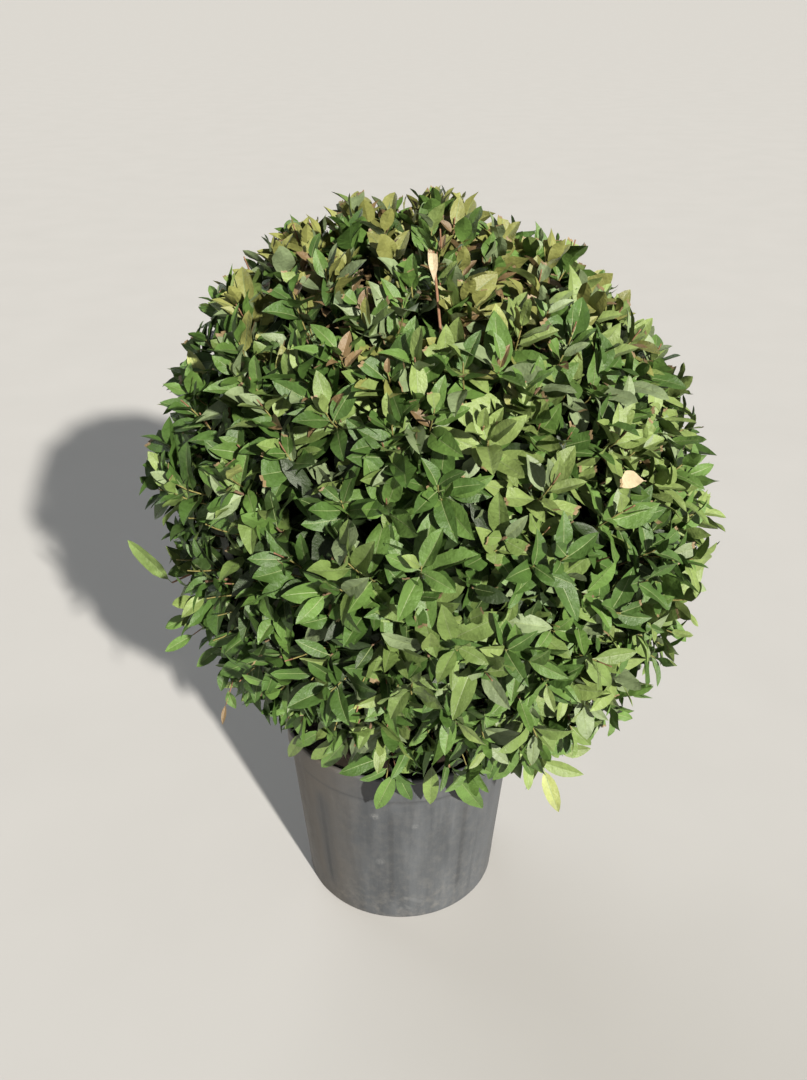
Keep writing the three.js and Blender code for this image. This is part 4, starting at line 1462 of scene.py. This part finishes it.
# %% Leaves over the pot's band, on sprigs and on the left edge
PLACED_LEAVES = [  # root, tip and half width in millimetres, and kind
    ((-8, -245, 401), (-43, -231, 310), 14, "green"),
    ((-5, -245, 401), (15, -234, 330), 11, "deep"),
    ((50, -240, 414), (45, -232, 320), 13, "olive"),
    ((82, -231, 392), (134, -195, 274), 16, "green"),
    ((54, -239, 439), (-5, -237, 394), 14, "olive"),
    ((-83, -231, 453), (-131, -200, 372), 13, "green"),
    ((-148, -195, 444), (-190, -150, 352), 11, "olive"),
    ((-92, -220, 450), (-146, -207, 396), 12, "olive"),
    ((-122, -205, 452), (-172, -185, 405), 11, "green"),
    ((-50, -226, 446), (-85, -228, 388), 11, "green"),
    ((161, -184, 404), (143, -187, 333), 12, "deep"),
    ((201, -228, 416), (200, -253, 369), 9, "fresh"),
    ((225, -236, 401), (247, -270, 338), 12, "yellowed"),
    ((214, -230, 412), (288, -243, 388), 12, "fresh"),
    # a pale leaf, whose colour is partly painted sheen
    ((267, -214, 442), (321, -203, 465), 14, "pale"),
    ((245, -222, 425), (300, -225, 425), 12, "fresh"),
    ((-367, -67, 641), (-438, -34, 703), 14, "olive"),
    ((-336, -103, 600), (-378, -106, 582), 10, "green"),
    ((-328, -118, 576), (-378, -126, 550), 9, "green"),
    ((-284, -124, 558), (-328, -137, 528), 10, "green"),
    ((-274, -146, 537), (-288, -166, 500), 10, "deep"),
    ((-271, -149, 530), (-250, -167, 498), 9, "deep"),
    ((-274, -166, 502), (-264, -180, 474), 9, "green"),
    ((-277, -176, 482), (-284, -191, 452), 4, "dry"),
    ((43, -222, 1159), (40, -192, 1213), 6, "bleached"),
    ((309, -326, 939), (257, -356, 957), 11, "bleached"),
]
PLACED_TWIGS = [  # foot, tip and radius in millimetres
    ((160, -150, 470), (233, -232, 405), 1.5),
    ((190, -170, 480), (267, -214, 442), 1.4),
    ((-327, -58, 657), (-367, -67, 641), 1.8),
    ((-290, -100, 598), (-330, -118, 575), 1.1),
    ((-250, -128, 562), (-277, -176, 480), 1.2),
    ((54, -262, 1078), (42, -197, 1195), 2.0),
    ((-20, -200, 440), (-6, -245, 402), 1.3),
    ((70, -190, 440), (84, -231, 393), 1.3),
]
PLACED_TWIG_TAPER = 0.8
TO_THE_VIEWER = [0, -0.8, 0.5]
BLADE = ("root", "forward", "side", "face", "length", "width")


def placed_frames(leaves):
    """Frames of the listed leaves, which face the viewer more than the others."""
    roots, tips, halves, kinds = (np.array(column) for column in zip(*leaves))
    roots, tips = roots * MM, tips * MM
    forward = unit(tips - roots)
    face, side = facing(0.5 * unit(roots - BALL_CENTRE) + TO_THE_VIEWER, forward)
    frames = {"root": roots, "forward": forward, "side": side, "face": face, "kind": kinds}
    frames.update(length=np.linalg.norm(tips - roots, axis=1), width=halves * MM)
    return frames


def gathered(names, *parts):
    """One dict of frames from several."""
    return {name: np.concatenate([part[name] for part in parts]) for name in names}


all_leaves = gathered([*BLADE, "kind"], spray_leaves, tip_leaves, skirt_leaves, stray_leaves,
                      branch_leaves, placed_frames(PLACED_LEAVES))
dark_leaves = gathered(BLADE, inner_leaves, heart_leaves)
twig_foot, twig_tip, twig_radius = (np.array(column) * MM for column in zip(*PLACED_TWIGS))
placed_wood = bent_rods(shoot_rod, straight(twig_foot, twig_tip), twig_radius,
                        twig_radius * PLACED_TWIG_TAPER)
joined_mesh("bare_sticks", placed_wood, shoot_rod[1], STICK_RED)
for kind in KINDS:
    print(kind, int((all_leaves["kind"] == kind).sum()))

# %% [markdown]
# ## Which blank each leaf is, and room for the long leaf
# The shears cut through more leaves near the top than low down. A dry leaf has curled, and a
# listed leaf is the flattest blank, so that its place can be trusted. The long leaf on the left
# stands alone in full light, so the few leaves of the rule that would hide or shade it are left
# out: those that come too near to two lines, one in front of it and one towards the lamp.

# %% Blanks for the leaves, and the leaves that give way
CUT_SHARE = 0.07
CUT_SHARE_ON_TOP = 0.3
CLEARED_LINES = [  # both ends and how far round them, in millimetres
    ((-380, -60, 652), (-362, -95, 675), 17),
    ((-352, -127, 697), (-325, -180, 727), 25),
]


def blank_numbers(frames):
    """Which blank every leaf is a copy of."""
    draw = chance.many(len(frames["root"]))
    height = np.clip(unit(frames["root"] - BALL_CENTRE)[:, 2], 0, 1)
    number = np.minimum((draw * CUT_BLANK).astype(int), CUT_BLANK - 1)
    number[chance.many(len(draw)) < CUT_SHARE + CUT_SHARE_ON_TOP * height] = CUT_BLANK
    number[frames["kind"] == "dry"] = CURLED_BLANK
    number[-len(PLACED_LEAVES):] = FLATTEST_BLANK
    number[frames["kind"] == "bleached"] = CUT_BLANK
    return number


def off_line(points, foot, tip):
    """How far each point is from the line between foot and tip."""
    line = tip - foot
    share = np.clip((points - foot) @ line / (line @ line), 0, 1)
    return np.linalg.norm(points - foot - share[..., None] * line, axis=-1)


def giving_way(frames):
    """True for the leaves of the rule that come too near to a cleared line."""
    near = np.zeros(len(frames["root"]), bool)
    for share in (0.25, 0.5, 0.75):
        points = frames["root"] + share * frames["length"][:, None] * frames["forward"]
        for foot, tip, radius in CLEARED_LINES:
            near |= off_line(points, np.array(foot) * MM, np.array(tip) * MM) <= radius * MM
    near[-len(PLACED_LEAVES):] = False
    return near


leaf_numbers = blank_numbers(all_leaves)
staying = ~giving_way(all_leaves)
all_leaves = {name: values[staying] for name, values in all_leaves.items()}
leaf_numbers = leaf_numbers[staying]
print(int((~staying).sum()), "leaves are left out in front of the long leaf")

# %% [markdown]
# ## Leaves as joined meshes
# Each leaf is a copy of its blank, set in its own frame. All leaves of one kind are joined into
# one mesh. Blades are smooth across, but the rib is a crease, which is marked as sharp edges.

# %% Join the leaves by kind


def blade_corners(frames, blanks):
    """Corners of every leaf: copies x corners x 3."""
    along = blanks[..., :1] * frames["length"][:, None, None]
    half = frames["width"][:, None, None]
    return (frames["root"][:, None] + along * frames["forward"][:, None]
            + blanks[..., 1:2] * half * frames["side"][:, None]
            + blanks[..., 2:] * half * frames["face"][:, None])


def midline(corners, places, strips):
    """Numbers of the blank's corners along its rib, from foot to tip."""
    line = []
    for place in places:
        row = np.flatnonzero(abs(corners[:, 0] - place) < NEAR)
        line.append(row[np.argsort(corners[row, 1])[strips // 2]])
    return line


blank_corners = np.array([corners for corners, faces in LEAF_BLANKS])
leaf_corners = blade_corners(all_leaves, blank_corners[leaf_numbers])
rib_rows = midline(blank_corners[0], LEAF_ROW_PLACES, LEAF_STRIPS)
for kind in KINDS:
    chosen = all_leaves["kind"] == kind
    piece = joined_mesh("leaves_" + kind, leaf_corners[chosen], leaf_faces,
                        LEAF_FINISHES[kind], crease=rib_rows)
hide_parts("foliage")
# the leaves inside the ball are one mesh in the dark inner colour, which is painted shade
inner_corners, inner_faces = INNER_BLANK
joined_mesh("leaves_inner", blade_corners(dark_leaves, inner_corners[None]), inner_faces,
            LEAF_FINISHES["inner"])

# %% [markdown]
# ## Dry edges
# Where shears cut through a leaf, its edge dries to a thin brown line, which is what makes a
# clipped crown look brown from a step away. It could be painted on the blank, but then the cut
# leaves of every kind would need a second finish. So it is a strip along the last row of each cut
# leaf, a hair above it.

# %% Dry edges of cut leaves
EDGE_REACH = 0.045
EDGE_OVERLAP = 0.4
EDGE_LIFT = 0.0003


def strip_faces(corners):
    """Faces between two rows of corners."""
    return [(step, corners + step, corners + step + 1, step + 1) for step in range(corners - 1)]


edge_count = LEAF_STRIPS + 1
blank_places = blank_corners[CUT_BLANK]
edge_row = np.argsort(blank_places[:, 0])[-edge_count:]
edge_row = edge_row[np.argsort(blank_places[edge_row, 1])]
clipped = leaf_numbers == CUT_BLANK
cut_leaves = {name: values[clipped][:, None] for name, values in all_leaves.items()}
edge = leaf_corners[clipped][:, edge_row]
onwards = EDGE_REACH * cut_leaves["length"][..., None] * cut_leaves["forward"]
edge_corners = np.concatenate([edge - EDGE_OVERLAP * onwards, edge + onwards], axis=1)
edge_corners = edge_corners + EDGE_LIFT * cut_leaves["face"]
joined_mesh("cut_edges", edge_corners, strip_faces(edge_count), LEAF_FINISHES["cut"])

# %% [markdown]
# ## Cut twig ends
# A cut twig sticks out past its last leaves by a centimetre or two. A spray could simply be made
# longer, but its end is redder and drier than the rest, so it is one more short, straight rod in
# the finish of the dry sticks. There are more of them near the top.

# %% Bare ends of cut twigs
SNAG_SHARE = 0.16
SNAG_SHARE_ON_TOP = 0.25
SNAG_LENGTH = (0.008, 0.022)  # the least, and how much more by chance
SNAG_RADII = (0.0012, 0.0010)

snag_height = np.clip(unit(spray_paths[:, 2] - BALL_CENTRE)[:, 2], 0, 1)
snag_share = SNAG_SHARE + SNAG_SHARE_ON_TOP * snag_height
snagged = spray_paths[chance.many(len(spray_paths)) < snag_share]
snag_way = bend_heading(snagged, np.ones(len(snagged)))
snag_length = SNAG_LENGTH[0] + SNAG_LENGTH[1] * chance.many(len(snagged))[:, None]
snag_paths = straight(snagged[:, 2], snagged[:, 2] + snag_length * snag_way)
snags = bent_rods(spray_rod, snag_paths, *SNAG_RADII)
joined_mesh("cut_twig_ends", snags, spray_rod[1], STICK_RED)

# %% [markdown]
# ## Midribs
# The pale midrib is what shows a bay leaf's direction from afar. A line that is painted on
# thousands of joined leaves would not stay on them, so the rib is a thin strip of its own, which
# follows the blade's middle corners and tapers to the tip.

# %% Join the midribs
RIB_LIFT = 0.00035
RIB_WIDTH = 0.00065
RIB_TAPER = (1.2, 0.35)

ribbed = ~np.isin(all_leaves["kind"], ["dry", "bleached"])
rib_line = leaf_corners[ribbed][:, rib_rows[:-1]]
rib_side, rib_face = (all_leaves[name][ribbed][:, None] for name in ("side", "face"))
rows = rib_line.shape[1]
half_rib = np.linspace(*RIB_TAPER, rows)[None, :, None] * RIB_WIDTH * rib_side
rib_corners = np.concatenate([rib_line + half_rib, rib_line - half_rib], axis=1)
rib_corners = rib_corners + RIB_LIFT * rib_face
joined_mesh("leaf_ribs", rib_corners, strip_faces(rows), LEAF_FINISHES["rib"])

# %% [markdown]
# ## Floor
# The plant stands on a plain pale floor, which fills the picture to the horizon. A curved studio
# backdrop would do too, but a very wide flat floor needs no aiming and catches the same shadow.

# %% Floor
FLOOR_SIZE = 1200
FLOOR_TONES = ((0.43, 0.425, 0.415), (0.46, 0.455, 0.445))


def floor_finish():
    finish = Finish("pale_floor", roughness=1.0, specular=0.0)
    tones = [colour(*tone) for tone in FLOOR_TONES]
    finish.give("Base Color", finish.blend(finish.noise(3, 3, 0.5), *tones))
    return finish.material


clean_slate()
bpy.ops.mesh.primitive_grid_add(x_subdivisions=8, y_subdivisions=8, size=FLOOR_SIZE)
floor = bpy.context.object
floor.name = "studio_floor"
floor.data.materials.append(floor_finish())
print("the floor is", FLOOR_SIZE, "m wide")

# %% [markdown]
# ## Light
# The key lamp is high on the right in front, where the sun stood, and it is so small that leaves
# cast clear shadows. A wide, weak lamp from behind on the left and an even dome keep the shadows
# from going black. A picture of a sky could do all this at once, but lamps are easier to tune.

# %% Lamps and dome
KEY_WAY = Vector((-2.2, 4.3, -2.35))
FILL_WAY = Vector((1.4, -2.2, -1.7))
DOME_COLOUR = colour(0.96, 0.98, 0.97)
DOME_STRENGTH = 0.23


def far_lamp(name, way, spread, strength, tint):
    """A lamp without end distance that shines that way, its light spread over some degrees."""
    bpy.ops.object.light_add(type="SUN", location=-way)
    lamp = bpy.context.object
    lamp.name = name
    lamp.rotation_euler = way.to_track_quat("-Z", "Y").to_euler()
    lamp.data.angle = math.radians(spread)
    lamp.data.energy = strength
    lamp.data.color = tint


far_lamp("key_lamp", KEY_WAY, spread=2.2, strength=8.4, tint=(1.0, 0.95, 0.87))
far_lamp("fill_lamp", FILL_WAY, spread=50, strength=1.35, tint=(0.95, 0.97, 1.0))
dome = bpy.data.worlds.new("soft_dome")
dome.use_nodes = True
dome.node_tree.nodes["Background"].inputs["Color"].default_value = DOME_COLOUR
dome.node_tree.nodes["Background"].inputs["Strength"].default_value = DOME_STRENGTH
scene.world = dome
scene.view_settings.view_transform = "Standard"
level_way = Vector((KEY_WAY.x, KEY_WAY.y, 0))
print("the key lamp shines down at", round(math.degrees(KEY_WAY.angle(level_way))), "degrees")
